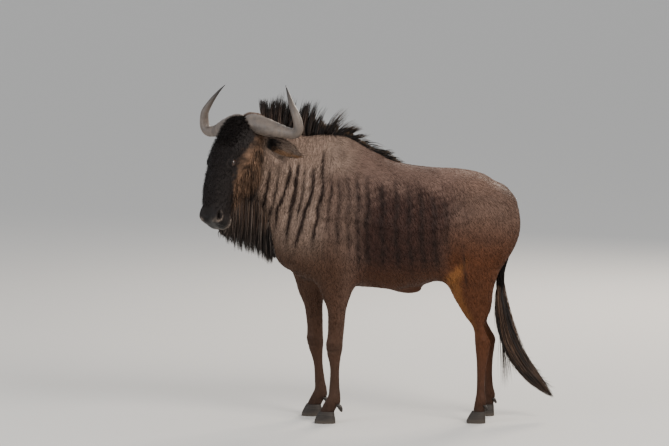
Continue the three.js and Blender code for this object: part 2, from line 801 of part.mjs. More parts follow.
// The two small claws behind a fetlock.
function dewclaw(name, out) {
  const { x, side } = LEGS[name];
  const size = kindOf(name) === "foreleg" ? 1 : 0.75;
  const centre = vec(x + 27 - 4 / size, -side * STANCE + out * 16, 77);
  const rings = [
    [16, -9, 11],
    [4, 2, 12],
    [-11, 10, 10],
    [-22, 13, 4],
  ].map(([height, back, radius]) =>
    Array.from({ length: 6 }, (_, k) => {
      const a = (2 * Math.PI * k) / 6;
      return vec(
        centre.x + (back + Math.cos(a) * radius) * size,
        centre.y + Math.sin(a) * radius * 0.9 * size,
        centre.z + height * size,
      );
    }),
  );
  return loft(rings);
}

// A leg's bones and muscle as rings round its own line, taken from the skin's field.
function legRings(name, heights, sides) {
  const { x, side, lean } = LEGS[name];
  const at = smoothRows(LEGS[name].rows);
  const span = LEAN_TO[kindOf(name)] - LEAN_FROM;
  return heights.map((height) => {
    const [, front, rear, , shift] = at(height);
    const forward = lean * clamp((height - LEAN_FROM) / span, 0, 1) - x;
    const out = (STANCE + shift - 10 * clamp((height - 60) / 300, 0, 1)) * side;
    const middle = vec(-forward - (front + rear) / 2, -out, height);
    return Array.from({ length: sides }, (_, k) => {
      const a = (2 * Math.PI * (k + 0.5)) / sides;
      return skinPoint(middle, vec(Math.cos(a), Math.sin(a), 0), 200);
    });
  });
}

const FORE_UPPER = [334, 352, 376, 410, 450, 510, 580, 652];
const FORE_LOWER = [HOOF_HEIGHT, 68, 88, 108, 140, 190, 260, 300, 334];
const HIND_LOWER = [HOOF_HEIGHT, 70, 90, 112, 150, 210, 270, 310, 342];
const LEG_SIDES = 10;

function lowerLeg(name) {
  const heights = kindOf(name) === "foreleg" ? FORE_LOWER : HIND_LOWER;
  const kneeCut = kindOf(name) === "foreleg" ? KNEE_CUT : HOCK_CUT;
  const leg = fuse([
    loft(legRings(name, heights, LEG_SIDES)),
    dewclaw(name, 1),
    dewclaw(name, -1),
  ]);
  return cut(cut(leg, HOOF_CUT, -1), kneeCut, 1);
}

function foreUpper(name) {
  const leg = loft(legRings(name, FORE_UPPER, LEG_SIDES + 2));
  return cut(cut(leg, KNEE_CUT, -1), FORE_CUT, 1);
}

function hindUpper(name) {
  const { side } = LEGS[name];
  const low = side > 0 ? vec(160, -300, 300) : vec(160, -30, 300);
  const high = side > 0 ? vec(640, 30, 990) : vec(640, 300, 990);
  let leg = net(flesh, low, high, vec(34, 30, 44));
  leg = cut(cut(leg, HIND_CUT, 1), FLANK_CUT, -1);
  leg = cut(leg, HOCK_CUT, -1);
  leg = leg.subtract(tailPart(0, 0.43, 10, { grown: 2 * GAP }));
  return cut(leg, MIDDLE, -side);
}

// Mane, beard and tail.

// The same numbers in every run, from 0 to 1.
let seed = SEED;
function random() {
  seed = (Math.imul(seed, 1664525) + 1013904223) >>> 0;
  return seed / 4294967296;
}
const vary = (amount) => amount * (2 * random() - 1);

// A flat lock of hair from root to tip, bowed in the middle and broad across its face.
const LOCK_STEPS = 3;
function lock({ root, tip, bow, face, width, thick }) {
  const rings = [];
  for (let i = 0; i <= LOCK_STEPS; i++) {
    const s = i / LOCK_STEPS;
    const centre = root.clone().lerp(tip, s).addScaledVector(bow, 4 * s * (1 - s));
    const tangent = tip.clone().sub(root).addScaledVector(bow, 4 * (1 - 2 * s)).normalize();
    const flat = face.clone().addScaledVector(tangent, -face.dot(tangent)).normalize();
    const broad = tangent.clone().cross(flat);
    const w = (width / 2) * (1 - s ** 1.7) + 1.2;
    const t = (thick / 2) * (1 - 0.85 * s) + 0.4;
    rings.push([
      centre.clone().addScaledVector(broad, w),
      centre.clone().addScaledVector(flat, t),
      centre.clone().addScaledVector(broad, -w),
      centre.clone().addScaledVector(flat, -t),
    ]);
  }
  return loft(rings);
}

// The solid middle of a row of locks: stations with a root, a tip, a sideways line and a half thickness.
function core(stations) {
  return loft(
    stations.map(({ root, tip, side, half }) => [
      root.clone().addScaledVector(side, half),
      tip.clone().addScaledVector(side, half * 0.2),
      tip.clone().addScaledVector(side, -half * 0.2),
      root.clone().addScaledVector(side, -half),
    ]),
  );
}
const CORE_SHARE = 0.45;

// [x of the root, y of the root, length, lean back in degrees from upright]
const MANE_ROWS = [
  [-668, -80, 112, -8],
  [-640, -70, 150, -5],
  [-590, -54, 176, -1],
  [-530, -33, 190, 3],
  [-460, -16, 192, 9],
  [-400, -6, 186, 18],
  [-350, 0, 160, 35],
  [-300, 0, 142, 60],
  [-240, 0, 128, 82],
  [-170, 0, 114, 93],
  [-100, 0, 98, 98],
  [-30, 0, 70, 101],
];
const maneAt = smoothRows(MANE_ROWS);
const MANE_FROM = -662;
const MANE_TO = -36;
const MANE_SINK = 26;
const MANE_LOCKS = 28;
const HAIR_SIDE = vec(0, -1, 0);

function maneStation(x, aside = 0) {
  const [, y, length, lean] = maneAt(x);
  const root = skinPoint(vec(x, y + aside, 1180), Z);
  return { root, length, lean: radians(lean) };
}

function maneCore() {
  return core(
    Array.from({ length: 15 }, (_, i) => {
      const { root, length, lean } = maneStation(lerp(MANE_FROM, MANE_TO, i / 14));
      const direction = vec(Math.sin(lean), 0, Math.cos(lean));
      return {
        root: root.clone().addScaledVector(Z, -MANE_SINK),
        tip: root.clone().addScaledVector(direction, length * CORE_SHARE),
        side: HAIR_SIDE,
        half: 17,
      };
    }),
  );
}

function mane() {
  const locks = Array.from({ length: MANE_LOCKS }, (_, i) => {
    const x = lerp(MANE_FROM, MANE_TO, (i + 0.5) / MANE_LOCKS) + vary(5);
    const hand = i % 2 ? 1 : -1;
    const { root, length, lean } = maneStation(x, hand * 8);
    const a = lean + radians(vary(5));
    const long = length * (0.95 + vary(0.09));
    const tilt = hand * 0.1 + vary(0.05);
    const direction = vec(Math.sin(a), -tilt, Math.cos(a)).normalize();
    const back = vec(Math.cos(a), 0, -Math.sin(a));
    const start = root.clone().addScaledVector(Z, -MANE_SINK);
    return lock({
      root: start,
      tip: root.clone().addScaledVector(direction, long).addScaledVector(back, 12 + 8 * random()),
      bow: back.clone().multiplyScalar(-9).addScaledVector(HAIR_SIDE, hand * 4),
      face: HAIR_SIDE.clone().addScaledVector(X, vary(0.35)),
      width: 44 + vary(5),
      thick: 15,
    });
  });
  return fuse([maneCore(), ...locks]);
}

// [ahead of the jaw's hinge, height of a point inside, height of the tip, spread] along jaw and throat
const BEARD_ROWS = [
  [-104, 1050, 836, 30],
  [-78, 1100, 788, 36],
  [-42, 1180, 812, 42],
  [0, 1240, 830, 46],
  [60, 1270, 844, 46],
  [120, 1220, 862, 42],
  [180, 1140, 892, 32],
  [228, 1060, 926, 20],
];
const beardAt = smoothRows(BEARD_ROWS);
const BEARD_AT = HEAD_AT.clone().addScaledVector(turnedLevel, -78).setZ(0);
const BEARD_FROM = -100;
const BEARD_TO = 226;
const BEARD_STATIONS = 9;
const BEARD_SINK = 22;
const headLeft = vec(Math.sin(radians(HEAD_TURN)), -Math.cos(radians(HEAD_TURN)), 0);
const neckLevel = vec(-Math.cos(NECK_TURN), -Math.sin(NECK_TURN), 0);
const neckLeft = vec(Math.sin(NECK_TURN), -Math.cos(NECK_TURN), 0);

// A place under the jaw, or under the throat behind the jaw's hinge, and the skin there.
function beardStation(ahead, aside = 0) {
  const [, height, tip, spread] = beardAt(ahead);
  const left = ahead > 0 ? headLeft : neckLeft;
  const inside = BEARD_AT.clone()
    .addScaledVector(ahead > 0 ? turnedLevel : neckLevel, ahead)
    .addScaledVector(left, aside * spread)
    .setZ(height);
  return { root: skinPoint(inside, vec(0, 0, -1)), tip, left };
}

function beard() {
  const solids = [
    core(
      Array.from({ length: 9 }, (_, i) => {
        const { root, tip, left } = beardStation(lerp(BEARD_FROM + 8, BEARD_TO - 12, i / 8));
        return {
          root: root.clone().addScaledVector(Z, BEARD_SINK),
          tip: root.clone().setZ(lerp(root.z, tip, CORE_SHARE)),
          side: left,
          half: 32,
        };
      }),
    ),
  ];
  for (let i = 0; i < BEARD_STATIONS; i++)
    for (const aside of [-1, 0, 1]) {
      const ahead = lerp(BEARD_FROM, BEARD_TO, (i + 0.5 * Math.abs(aside)) / (BEARD_STATIONS - 0.5));
      const { root, tip, left } = beardStation(ahead + vary(5), aside);
      const lift = aside ? 22 + 26 * random() : 4 + 14 * random();
      const end = root
        .clone()
        .addScaledVector(left, -aside * 20)
        .addScaledVector(turnedLevel, -10 + vary(10))
        .setZ(Math.min(tip + lift, root.z - 26));
      solids.push(
        lock({
          root: root.clone().addScaledVector(Z, BEARD_SINK),
          tip: end,
          bow: left.clone().multiplyScalar(aside * 7).addScaledVector(turnedLevel, vary(6)),
          face: left.clone().addScaledVector(turnedLevel, vary(0.5)),
          width: 46 + vary(6),
          thick: 15,
        }),
      );
    }
  return fuse(solids);
}

const TAIL_SIDES = 8;
const tailAt = smoothRows(TAIL_ROWS);
const tailPoint = (s) => {
  const [, x, z] = tailAt(s);
  return vec(x, 0, z);
};
const tailTangent = (s) =>
  tailPoint(Math.min(s + 0.01, 1)).sub(tailPoint(Math.max(s - 0.01, 0))).normalize();

function tailPart(from, to, steps, { grown = 0, share = () => 1 } = {}) {
  const rings = Array.from({ length: steps + 1 }, (_, i) => {
    const s = lerp(from, to, i / steps);
    const side = vec(0, -1, 0);
    const up = side.clone().cross(tailTangent(s));
    const radius = tailAt(s)[3] * share(s);
    return Array.from({ length: TAIL_SIDES }, (_, k) => {
      const a = (2 * Math.PI * k) / TAIL_SIDES;
      return tailPoint(s)
        .addScaledVector(side, Math.cos(a) * (radius * 0.8 + grown))
        .addScaledVector(up, Math.sin(a) * (radius + grown));
    });
  });
  if (grown) rings.unshift(rings[0].map((p) => p.clone().sub(X)));
  return loft(rings);
}
const TAIL_SPLIT = 0.4;
const TAIL_CUT = { point: tailPoint(TAIL_SPLIT), normal: tailTangent(TAIL_SPLIT) };
const TAIL_LOCKS = 9;

function tailTuft() {
  const share = (s) => lerp(1, CORE_SHARE, clamp((s - TAIL_SPLIT) / 0.08, 0, 1));
  const solids = [tailPart(TAIL_SPLIT - 0.03, 0.76, 9, { share })];
  for (let i = 0; i < TAIL_LOCKS; i++) {
    const from = lerp(TAIL_SPLIT + 0.02, 0.74, i / (TAIL_LOCKS - 1));
    const to = Math.min(from + 0.3 + 0.06 * random(), 1);
    const angle = i * 2.4;
    const at = (s, share) => {
      const up = vec(0, -1, 0).cross(tailTangent(s));
      const radius = tailAt(s)[3] * share;
      return tailPoint(s)
        .addScaledVector(vec(0, -1, 0), Math.cos(angle) * radius * 0.8)
        .addScaledVector(up, Math.sin(angle) * radius);
    };
    const root = at(from, 0.25);
    const tip = at(to, 0.8);
    const bow = at((from + to) / 2, 0.72).sub(root.clone().lerp(tip, 0.5));
    const face = at(to, 1).sub(tailPoint(to)).normalize();
    solids.push(lock({ root, tip, bow, face, width: 40 + vary(5), thick: 18 }));
  }
  return fuse(solids);
}

// The parts.

const MANE = mane();
const BEARD = beard();

function headSolid() {
  const low = vec(-1040, -420, 900);
  const high = vec(-580, 40, 1590);
  let head = net(flesh, low, high, vec(25, 24, 25));
  head = cut(head, HEAD_CUT, -1);
  const features = [];
  for (const side of Object.values(SIDES)) {
    features.push(lid(side, true), lid(side, false));
    head = head.subtract(eggSolid(headFrame, [392, 56, side * 56], [15, 10, 20], [8, 6]));
  }
  head = fuse([head, ...features]);
  for (const side of Object.values(SIDES))
    head = head.subtract(ball(eyeCentre(side), EYE_RADIUS + GAP));
  head = head.subtract(mouthBlade());
  head = head.add(cut(BEARD, HEAD_CUT, -1));
  return head.subtract(fuse(beds(2 * GAP)));
}

// The room that the horns and ears need in the head and neck.
const beds = (grown) =>
  Object.values(SIDES).flatMap((side) => [horn(side, grown), ear(side, grown)]);

function neckSolid() {
  let solid = net(flesh, vec(-900, -320, 640), vec(-180, 230, 1560), vec(50, 48, 50));
  solid = fuse([solid, MANE, BEARD]);
  solid = cut(solid, HEAD_CUT, 1).subtract(fuse(beds(3 * GAP)));
  return cut(solid, NECK_CUT, -1);
}

function torsoSolid() {
  let solid = net(flesh, vec(-660, -330, 560), vec(620, 330, 1430), vec(72, 62, 62));
  solid = solid.add(MANE);
  solid = cut(solid, NECK_CUT, 1);
  // Below the elbow cut only the belly behind the forelegs stays.
  const shins = beyond(FORE_CUT, -1).intersect(beyond({ point: vec(-215, 0, 0), normal: X }, -1));
  solid = solid.subtract(shins).subtract(tailPart(0, 0.43, 10, { grown: 2 * GAP }));
  return solid.subtract(beyond(HIND_CUT, -1).intersect(beyond(FLANK_CUT, 1)));
}

const MATERIALS = {
  coat: { color: 0x5a4a42, roughness: 0.85 },
  face: { color: 0x1c1a1b, roughness: 0.8 },
  leg: { color: 0x5b3c2a, roughness: 0.8 },
  hair: { color: 0x17130f, roughness: 0.7 },
  horn: { color: 0x6d625c, roughness: 0.55 },
  hoof: { color: 0x2b2623, roughness: 0.6 },
  eye: { color: 0x140c08, roughness: 0.15 },
};

const solids = new Map();
const parts = new Map();
function part(name, material, solid) {
  solids.set(name, largest(solid));
  parts.set(name, material);
}

part("torso", "coat", torsoSolid());
part("neck", "coat", neckSolid());
part("head", "face", headSolid());
for (const [name, side] of Object.entries(SIDES)) {
  part("horn_" + name, "horn", horn(side));
  part("ear_" + name, "coat", ear(side));
  part("eye_" + name, "eye", ball(eyeCentre(side), EYE_RADIUS));
}
part("tail_dock", "coat", cut(tailPart(0, TAIL_SPLIT + 0.03, 10), TAIL_CUT, 1));
part("tail_tuft", "hair", cut(tailTuft(), TAIL_CUT, -1));
for (const name of Object.keys(LEGS)) {
  const upper = kindOf(name) === "foreleg" ? foreUpper(name) : hindUpper(name);
  part(name + "_upper", "leg", upper);
  part(name + "_lower", "leg", lowerLeg(name));
  part(name + "_hoof", "hoof", hoof(name));
}

const bull = new THREE.Group();
for (const [name, solid] of solids) {
  const mesh = new THREE.Mesh(
    geometryOf(solid),
    new THREE.MeshStandardMaterial({ ...MATERIALS[parts.get(name)], metalness: 0 }),
  );
  mesh.name = name;
  bull.add(mesh);
}
const box = new THREE.Box3().setFromObject(bull);
const middle = box.getCenter(vec(0, 0, 0));
bull.position.set(-middle.x, -middle.y, -box.min.z);
export default bull;
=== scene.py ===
import math

import bmesh
import bpy
import numpy as np
from bpy.props import FloatProperty, FloatVectorProperty, PointerProperty
from mathutils import Matrix, Quaternion, Vector


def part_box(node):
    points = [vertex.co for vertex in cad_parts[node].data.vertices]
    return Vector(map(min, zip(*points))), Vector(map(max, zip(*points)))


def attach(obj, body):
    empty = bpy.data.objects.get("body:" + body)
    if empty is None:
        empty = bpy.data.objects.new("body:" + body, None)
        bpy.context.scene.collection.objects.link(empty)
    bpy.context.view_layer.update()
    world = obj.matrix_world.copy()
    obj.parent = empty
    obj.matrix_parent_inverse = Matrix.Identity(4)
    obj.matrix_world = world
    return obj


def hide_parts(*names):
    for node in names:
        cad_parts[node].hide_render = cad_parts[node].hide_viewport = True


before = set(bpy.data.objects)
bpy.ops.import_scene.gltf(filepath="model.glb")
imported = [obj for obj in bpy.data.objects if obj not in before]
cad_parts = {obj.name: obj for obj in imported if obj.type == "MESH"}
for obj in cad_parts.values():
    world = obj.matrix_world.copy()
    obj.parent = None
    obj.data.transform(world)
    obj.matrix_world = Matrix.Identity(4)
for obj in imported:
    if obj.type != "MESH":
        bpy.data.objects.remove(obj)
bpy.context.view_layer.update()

bl_info = {
    "name": "Blue wildebeest bull",
    "version": (1, 0, 0),
    "blender": (4, 5, 0),
    "location": "View3D > Sidebar > Bull",
    "description": "Skin, coat, mane, horns, hooves and eyes over the packed solids of a standing bull",
    "category": "Add Mesh",
}

SEED = 11

# The solids are drawn in millimetres about their own middle. The left fore hoof tells where the pack put them.
HOOF_LOW, HOOF_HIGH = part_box("foreleg_left_hoof")
SHIFT = np.array([HOOF_LOW.x * 1000 + 420, (HOOF_LOW.y + HOOF_HIGH.y) * 500 + 115, 0.0])


def metres(p):
    """Points of the drawing, in millimetres, to the row frame in metres."""
    return (np.asarray(p, float) + SHIFT) / 1000


def drawn(p):
    """Row-frame metres back to the drawing's millimetres."""
    return np.asarray(p, float) * 1000 - SHIFT


# The forms of the body, as in the solids


def vec(*xyz):
    return np.array(xyz, float)


def unit(v):
    v = np.asarray(v, float)
    return v / np.maximum(np.linalg.norm(v, axis=-1, keepdims=True), 1e-9)


def turned(v, axis, degrees):
    return np.array(Quaternion(Vector(axis), math.radians(degrees)) @ Vector(v))


def ramp(x, low, high):
    """0 below low, 1 above high, and a smooth step between."""
    s = np.clip((np.asarray(x, float) - low) / (high - low), 0, 1)
    return s * s * (3 - 2 * s)


def bump(x, width):
    return np.exp(-((x / width) ** 2))


def mix(a, b, share):
    return a + (b - a) * share


class Rows:
    """Numbers that run smoothly through a few rows. A row starts with its place along the line."""

    def __init__(self, rows, columns=None):
        columns = columns or len(rows[0])
        self.rows = np.array([list(r) + [0.0] * (columns - len(r)) for r in rows], float)
        after = np.roll(self.rows, -1, 0)
        before = np.roll(self.rows, 1, 0)
        after[-1], before[0] = self.rows[-1], self.rows[0]
        self.slopes = (after - before) / (after[:, :1] - before[:, :1])
        self.start, self.end = self.rows[0, 0], self.rows[-1, 0]

    def __call__(self, place):
        t = np.clip(np.asarray(place, float), self.start, self.end)
        i = np.clip(np.searchsorted(self.rows[:, 0], t), 1, len(self.rows) - 1)
        a, b = self.rows[i - 1], self.rows[i]
        span = b[..., :1] - a[..., :1]
        s = (t[..., None] - a[..., :1]) / span
        s2, s3 = s * s, s * s * s
        return (
            a * (2 * s3 - 3 * s2 + 1)
            + self.slopes[i - 1] * span * (s3 - 2 * s2 + s)
            + b * (3 * s2 - 2 * s3)
            + self.slopes[i] * span * (s3 - s2)
        )


class Axes:
    """A limb's own directions: along it, up out of its back or front, and to its side."""

    def __init__(self, origin, along, side):
        self.origin = np.asarray(origin, float)
        self.along = unit(along)
        self.up = unit(np.cross(self.along, side))
        self.side = unit(np.cross(self.up, self.along))

    def place(self, along, up, side):
        a, u, s = (np.asarray(v, float)[..., None] for v in (along, up, side))
        return self.origin + a * self.along + u * self.up + s * self.side

    def local(self, p):
        d = p - self.origin
        return d @ self.along, d @ self.up, d @ self.side


FAR = 999.0  # the field of a form that isn't near


class Form:
    """A rounded form with a field that is negative inside, and a closed shell of its own."""

    reach = 170

    def close(self, p):
        """Which points lie in the box round the form, widened by its reach."""
        if not hasattr(self, "box"):
            s, angle = np.meshgrid(np.linspace(0, 1, 17), np.linspace(0, 2 * np.pi, 13))
            points = self.shell(s.ravel(), angle.ravel())
            self.box = points.min(0) - self.reach, points.max(0) + self.reach
        return ((p > self.box[0]) & (p < self.box[1])).all(1)

    def near(self, p):
        """The field round the form, and a far value elsewhere."""
        close = self.close(p)
        value = np.full(len(p), FAR)
        value[close] = self.field(p[close])
        return value


class Limb(Form):
    """A swelling limb. Its field is roughly millimetres away from its skin.
    A row is: along, top, bottom, half width, sideways shift, narrowing of the top, narrowing of the bottom."""

    def __init__(self, axes, rows, power=2.0, cap=60.0):
        self.axes, self.at, self.power, self.cap = axes, Rows(rows, 7), power, cap

    def field(self, p):
        t, u, v = self.axes.local(p)
        _, top, bottom, half, shift, ridge, keel = self.at(t).T
        tall = (top - bottom) / 2
        s = (u - (top + bottom) / 2) / tall
        narrow = 1 - ridge * np.clip(s, 0, 1) - keel * np.clip(-s, 0, 1)
        past = np.maximum(np.maximum(self.at.start - t, t - self.at.end), 0) / self.cap
        total = np.abs(s) ** self.power + np.abs((v - shift) / (half * narrow)) ** self.power
        return ((total + past**self.power) ** (1 / self.power) - 1) * np.minimum(tall, half)

    def shell(self, s, angle):
        """Points of the limb's own closed surface, s from end to end."""
        t = mix(self.at.start - self.cap, self.at.end + self.cap, s)
        _, top, bottom, half, shift, ridge, keel = self.at(t).T
        past = np.maximum(np.maximum(self.at.start - t, t - self.at.end), 0) / self.cap
        size = np.maximum(1 - past**self.power, 0) ** (1 / self.power)
        c, d = np.cos(angle), np.sin(angle)
        up = np.sign(d) * np.abs(d) ** (2 / self.power)
        side = np.sign(c) * np.abs(c) ** (2 / self.power)
        narrow = 1 - ridge * np.clip(up, 0, 1) - keel * np.clip(-up, 0, 1)
        high = (top + bottom) / 2 + size * up * (top - bottom) / 2
        return self.axes.place(t, high, shift + size * side * half * narrow)


class Egg(Form):
    """An ellipsoid, for muscle, bone and cheek."""

    def __init__(self, axes, centre, sizes):
        self.centre, self.sizes = axes.place(*centre), np.array(sizes, float)
        self.turn = np.stack([axes.along, axes.up, axes.side])
        self.reach = max(90, 85 * max(sizes) / min(sizes))

    def field(self, p):
        local = (p - self.centre) @ self.turn.T / self.sizes
        return (np.linalg.norm(local, axis=-1) - 1) * self.sizes.min()

    def shell(self, s, angle):
        z, r = -np.cos(np.pi * s), np.sin(np.pi * s)
        local = np.stack([z, r * np.sin(angle), r * np.cos(angle)], -1) * self.sizes
        return self.centre + local @ self.turn


def join(a, b, fillet):
    """Two fields as one, rounded where they meet."""
    h = np.maximum(fillet - np.abs(a - b), 0) / fillet
    return np.minimum(a, b) - h * h * fillet / 4


def carve(a, b, fillet):
    """The first field with the second cut out of it, rounded where they meet."""
    return -join(-a, b, fillet)


X, Y, Z = np.eye(3)
SIDES = {"left": 1, "right": -1}
WITHERS = 1386
WORLD = Axes(vec(0, 0, 0), X, Y)
TRUNK = Limb(WORLD, [
    [-545, 1060, 760, 105, 0, 0.2, 0.2],
    [-490, 1230, 700, 158, 0, 0.3, 0.3],
    [-410, WITHERS - 40, 672, 192, 0, 0.4, 0.35],
    [-330, WITHERS - 6, 662, 212, 0, 0.5, 0.32],
    [-262, WITHERS, 658, 224, 0, 0.52, 0.28],
    [-150, WITHERS - 57, 652, 244, 0, 0.4, 0.2],
    [0, WITHERS - 114, 642, 260, 0, 0.26, 0.1],
    [150, WITHERS - 137, 676, 258, 0, 0.2, 0.08],
    [290, WITHERS - 145, 748, 236, 0, 0.2, 0.1],
    [400, WITHERS - 168, 830, 205, 0, 0.25, 0.1],
    [480, WITHERS - 216, 880, 165, 0, 0.3, 0.1],
], 2.15, 78)

NECK_TURN = 17
NECK_BASE, NECK_TOP = vec(-330, 0, 1040), vec(-722, -118, 1366)
NECK_LEVEL = -turned(X, Z, NECK_TURN)
NECK_LEFT = turned(-Y, Z, NECK_TURN)
NECK_AXES = Axes(NECK_BASE, NECK_TOP - NECK_BASE, NECK_LEFT)
NECK = Limb(NECK_AXES, [
    [0, 318, -300, 190, 0, 0.3, 0.2],
    [120, 292, -292, 166, -12, 0.35, 0.25],
    [240, 242, -252, 134, -16, 0.38, 0.3],
    [360, 186, -206, 108, -8, 0.35, 0.3],
    [480, 140, -160, 92, 0, 0.25, 0.25],
    [570, 110, -120, 78, 0, 0.2, 0.2],
], 2, 70)

HEAD_TURN, HEAD_PITCH, HEAD_ROLL = 50, 63, 3
HEAD_LEVEL = -turned(X, Z, HEAD_TURN)
HEAD_LEFT = turned(-Y, Z, HEAD_TURN)
HEAD_AT = vec(-764, -150, 1369)
NOSE = turned(HEAD_LEVEL, HEAD_LEFT, HEAD_PITCH)
HEAD_AXES = Axes(HEAD_AT, NOSE, turned(HEAD_LEFT, NOSE, HEAD_ROLL))
SKULL = Limb(HEAD_AXES, [
    [-130, 26, -50, 62, 0, 0.1, 0.1],
    [-85, 58, -78, 78, 0, 0.1, 0.2],
    [-20, 110, -98, 91, 0, 0.1, 0.3],
    [62, 141, -104, 96, 0, 0.12, 0.38],
    [140, 145, -88, 87, 0, 0.14, 0.4],
    [223, 145, -60, 73, 0, 0.1, 0.35],
    [300, 131, -46, 65, 0, 0.1, 0.25],
    [361, 105, -46, 60, 0, 0.12, 0.15],
    [405, 68, -54, 57, 0, 0.15, 0.1],
], 2.5, 34)
# Brow, cheek, nose pad and lips on each side, then chin and forehead: centre, half sizes, fillet.
HEAD_EGGS = [
    (Egg(HEAD_AXES, [a, u, s * v], sizes), fillet)
    for s in SIDES.values()
    for (a, u, v), sizes, fillet in (
        ((106, 92, 58), (54, 28, 26), 26),
        ((60, -28, 52), (88, 62, 40), 34),
        ((392, 50, 36), (40, 32, 28), 22),
        ((402, -6, 30), (38, 36, 36), 20),
    )
] + [
    (Egg(HEAD_AXES, [392, -46, 0], (40, 24, 42)), 18),
    (Egg(HEAD_AXES, [-38, 84, 0], (66, 46, 56)), 40),
]

FORE_ROWS = [
    [52, 72, -2, 26, 0], [75, 62, -14, 26, 0], [98, 50, -31, 27, 0], [135, 31, -32, 24, 0],
    [175, 27, -27, 20, 0], [250, 24, -24, 19, 0], [290, 29, -26, 22, 0], [330, 39, -31, 29, 0],
    [365, 46, -37, 35, 0], [410, 43, -39, 34, 1], [460, 40, -43, 35, 2], [550, 46, -52, 39, 4],
    [620, 68, -66, 46, 8], [690, 80, -80, 55, 14], [780, 88, -96, 62, 20], [900, 92, -98, 62, 26],
]
HIND_ROWS = [
    [52, 37, -22, 22, 0], [75, 35, -25, 23, 0], [104, 30, -30, 25, 0], [150, 22, -23, 19, -2],
    [230, 19, -25, 18, -6], [304, 20, -36, 20, -10], [354, 24, -47, 25, -12], [392, 27, -52, 28, -12],
    [442, 30, -30, 25, -10], [477, 42, -20, 27, -8], [533, 82, -44, 38, -6], [600, 122, -59, 54, -4],
    [655, 150, -70, 66, -2], [730, 196, -94, 80, 0], [850, 186, -146, 92, 4], [960, 150, -168, 94, 6],
    [1080, 118, -150, 82, 2],
]
# rows, x of the foot, side, lean of the top ahead of the foot, height where the lean ends, hoof's reach
LEGS = {
    "foreleg_left": (FORE_ROWS, -323, 1, -12, 640, 45),
    "foreleg_right": (FORE_ROWS, -388, -1, 48, 640, 45),
    "hindleg_left": (HIND_ROWS, 394, 1, 8, 800, 23),
    "hindleg_right": (HIND_ROWS, 449, -1, 60, 800, 23),
}
STANCE = 115
LEAN_FROM = 110
LEG_AXES = Axes(vec(0, 0, 0), Z, Y)


def leg_limb(name):
    rows, x, side, lean, lean_to, _ = LEGS[name]
    own = []
    for height, front, rear, half, shift in rows:
        ahead = lean * min(max((height - LEAN_FROM) / (lean_to - LEAN_FROM), 0), 1) - x
        out = STANCE + shift - 10 * min(max((height - 60) / 300, 0), 1)
        own.append([height, front + ahead, rear + ahead, half, -out * side])
    return Limb(LEG_AXES, own, 2, 60)


LEG_LIMBS = {name: leg_limb(name) for name in LEGS}

# share of the tail, x, z, radius
TAIL_ROWS = [
    [0, 470, 1128, 28], [0.06, 530, 1075, 28], [0.13, 552, 1000, 24], [0.21, 543, 905, 21],
    [0.29, 519, 812, 19], [0.36, 499, 735, 18], [0.43, 495, 650, 21], [0.51, 500, 549, 43],
    [0.6, 527, 436, 53], [0.69, 559, 348, 48.6], [0.77, 605, 274, 43], [0.85, 656, 211, 34],
    [0.92, 698, 162, 17], [1, 764, 103, 3],
]
TAIL = Rows(TAIL_ROWS)
CLEFT_WALL = 9
CLEFT = Limb(LEG_AXES, [
    [z - 20, r + CLEFT_WALL - (30 if i == 0 else 0) - x, -x - 90, r + CLEFT_WALL + 4]
    for i, (_, x, z, r) in enumerate(TAIL_ROWS[1:7])
][::-1], 2, 40)

BODY_EGGS = [
    (Egg(WORLD, [x, z, s * y], sizes), 70)
    for s in SIDES.values()
    for (x, z, y), sizes in (
        ((-318, 1030, 128), (140, 270, 78)),
        ((-440, 860, 92), (130, 130, 84)),
        ((430, 985, 96), (140, 165, 96)),
        ((352, 1120, 120), (90, 70, 70)),
    )
] + [(Egg(WORLD, [48, 640, 0], (56, 20, 20)), 30)]

EAR_LENGTH, EAR_WALL = 204, 5
EAR_ROWS = Rows([
    [0, 27, 22], [0.14, 37, 26], [0.32, 44, 26], [0.52, 48, 22], [0.72, 41, 16], [0.88, 25, 9], [1, 5, 3],
])


class Ear(Form):
    """A leaf rolled into a cup that opens forward and down, solid at its root."""

    def __init__(self, side):
        out = HEAD_LEFT * side
        self.axis = unit(out * 166 - HEAD_LEVEL * 66 - Z * 52)
        opening = HEAD_LEVEL * 0.72 - Z * 0.35 + out * 0.35
        self.open = unit(opening - (opening @ self.axis) * self.axis)
        self.broad = np.cross(self.axis, self.open)
        self.root = HEAD_AXES.place(-34, -40, side * 84)

    def local(self, p):
        s = (p - self.root) @ self.axis / EAR_LENGTH
        k = np.clip(s, 0, 1)
        d = p - self.root + (10 * k * k)[..., None] * Z + (8 * np.sin(np.pi * k))[..., None] * self.open
        return s, d @ self.broad, d @ self.open

    def field(self, p):
        s, b, o = self.local(p)
        _, half, deep = EAR_ROWS(s).T
        outer = (np.hypot(b / half, o / deep) - 1) * np.minimum(half, deep)
        wall = EAR_WALL * (1 - 0.35 * np.clip(s, 0, 1))
        hollow = np.clip((s - 0.1) / 0.2, 0, 1)
        inner_deep = np.maximum((deep - wall) * hollow, 1)
        inner = (np.hypot(b / np.maximum(half - 0.7 * wall, 2), o / inner_deep) - 1) * inner_deep
        inner = np.where(hollow > 0, inner, 1e3)
        ends = np.maximum(-s, s - 1) * EAR_LENGTH
        solid = np.maximum(outer, o - 6)
        return np.maximum(-join(-solid, inner, 2.5), ends)

    def shell(self, s, angle):
        """The filled outer leaf, to start the skin from."""
        along = s * 1.06 - 0.06
        k = np.clip(along, 0, 1)
        _, half, deep = EAR_ROWS(k).T
        broad, opened = np.cos(angle) * half, -np.sin(angle) * np.where(np.sin(angle) > 0, deep, 5)
        opened = opened - 8 * np.sin(np.pi * k)
        parts = ((EAR_LENGTH * along, self.axis), (-10 * k * k, Z), (broad, self.broad), (opened, self.open))
        return self.root + sum(np.asarray(size)[..., None] * way for size, way in parts)


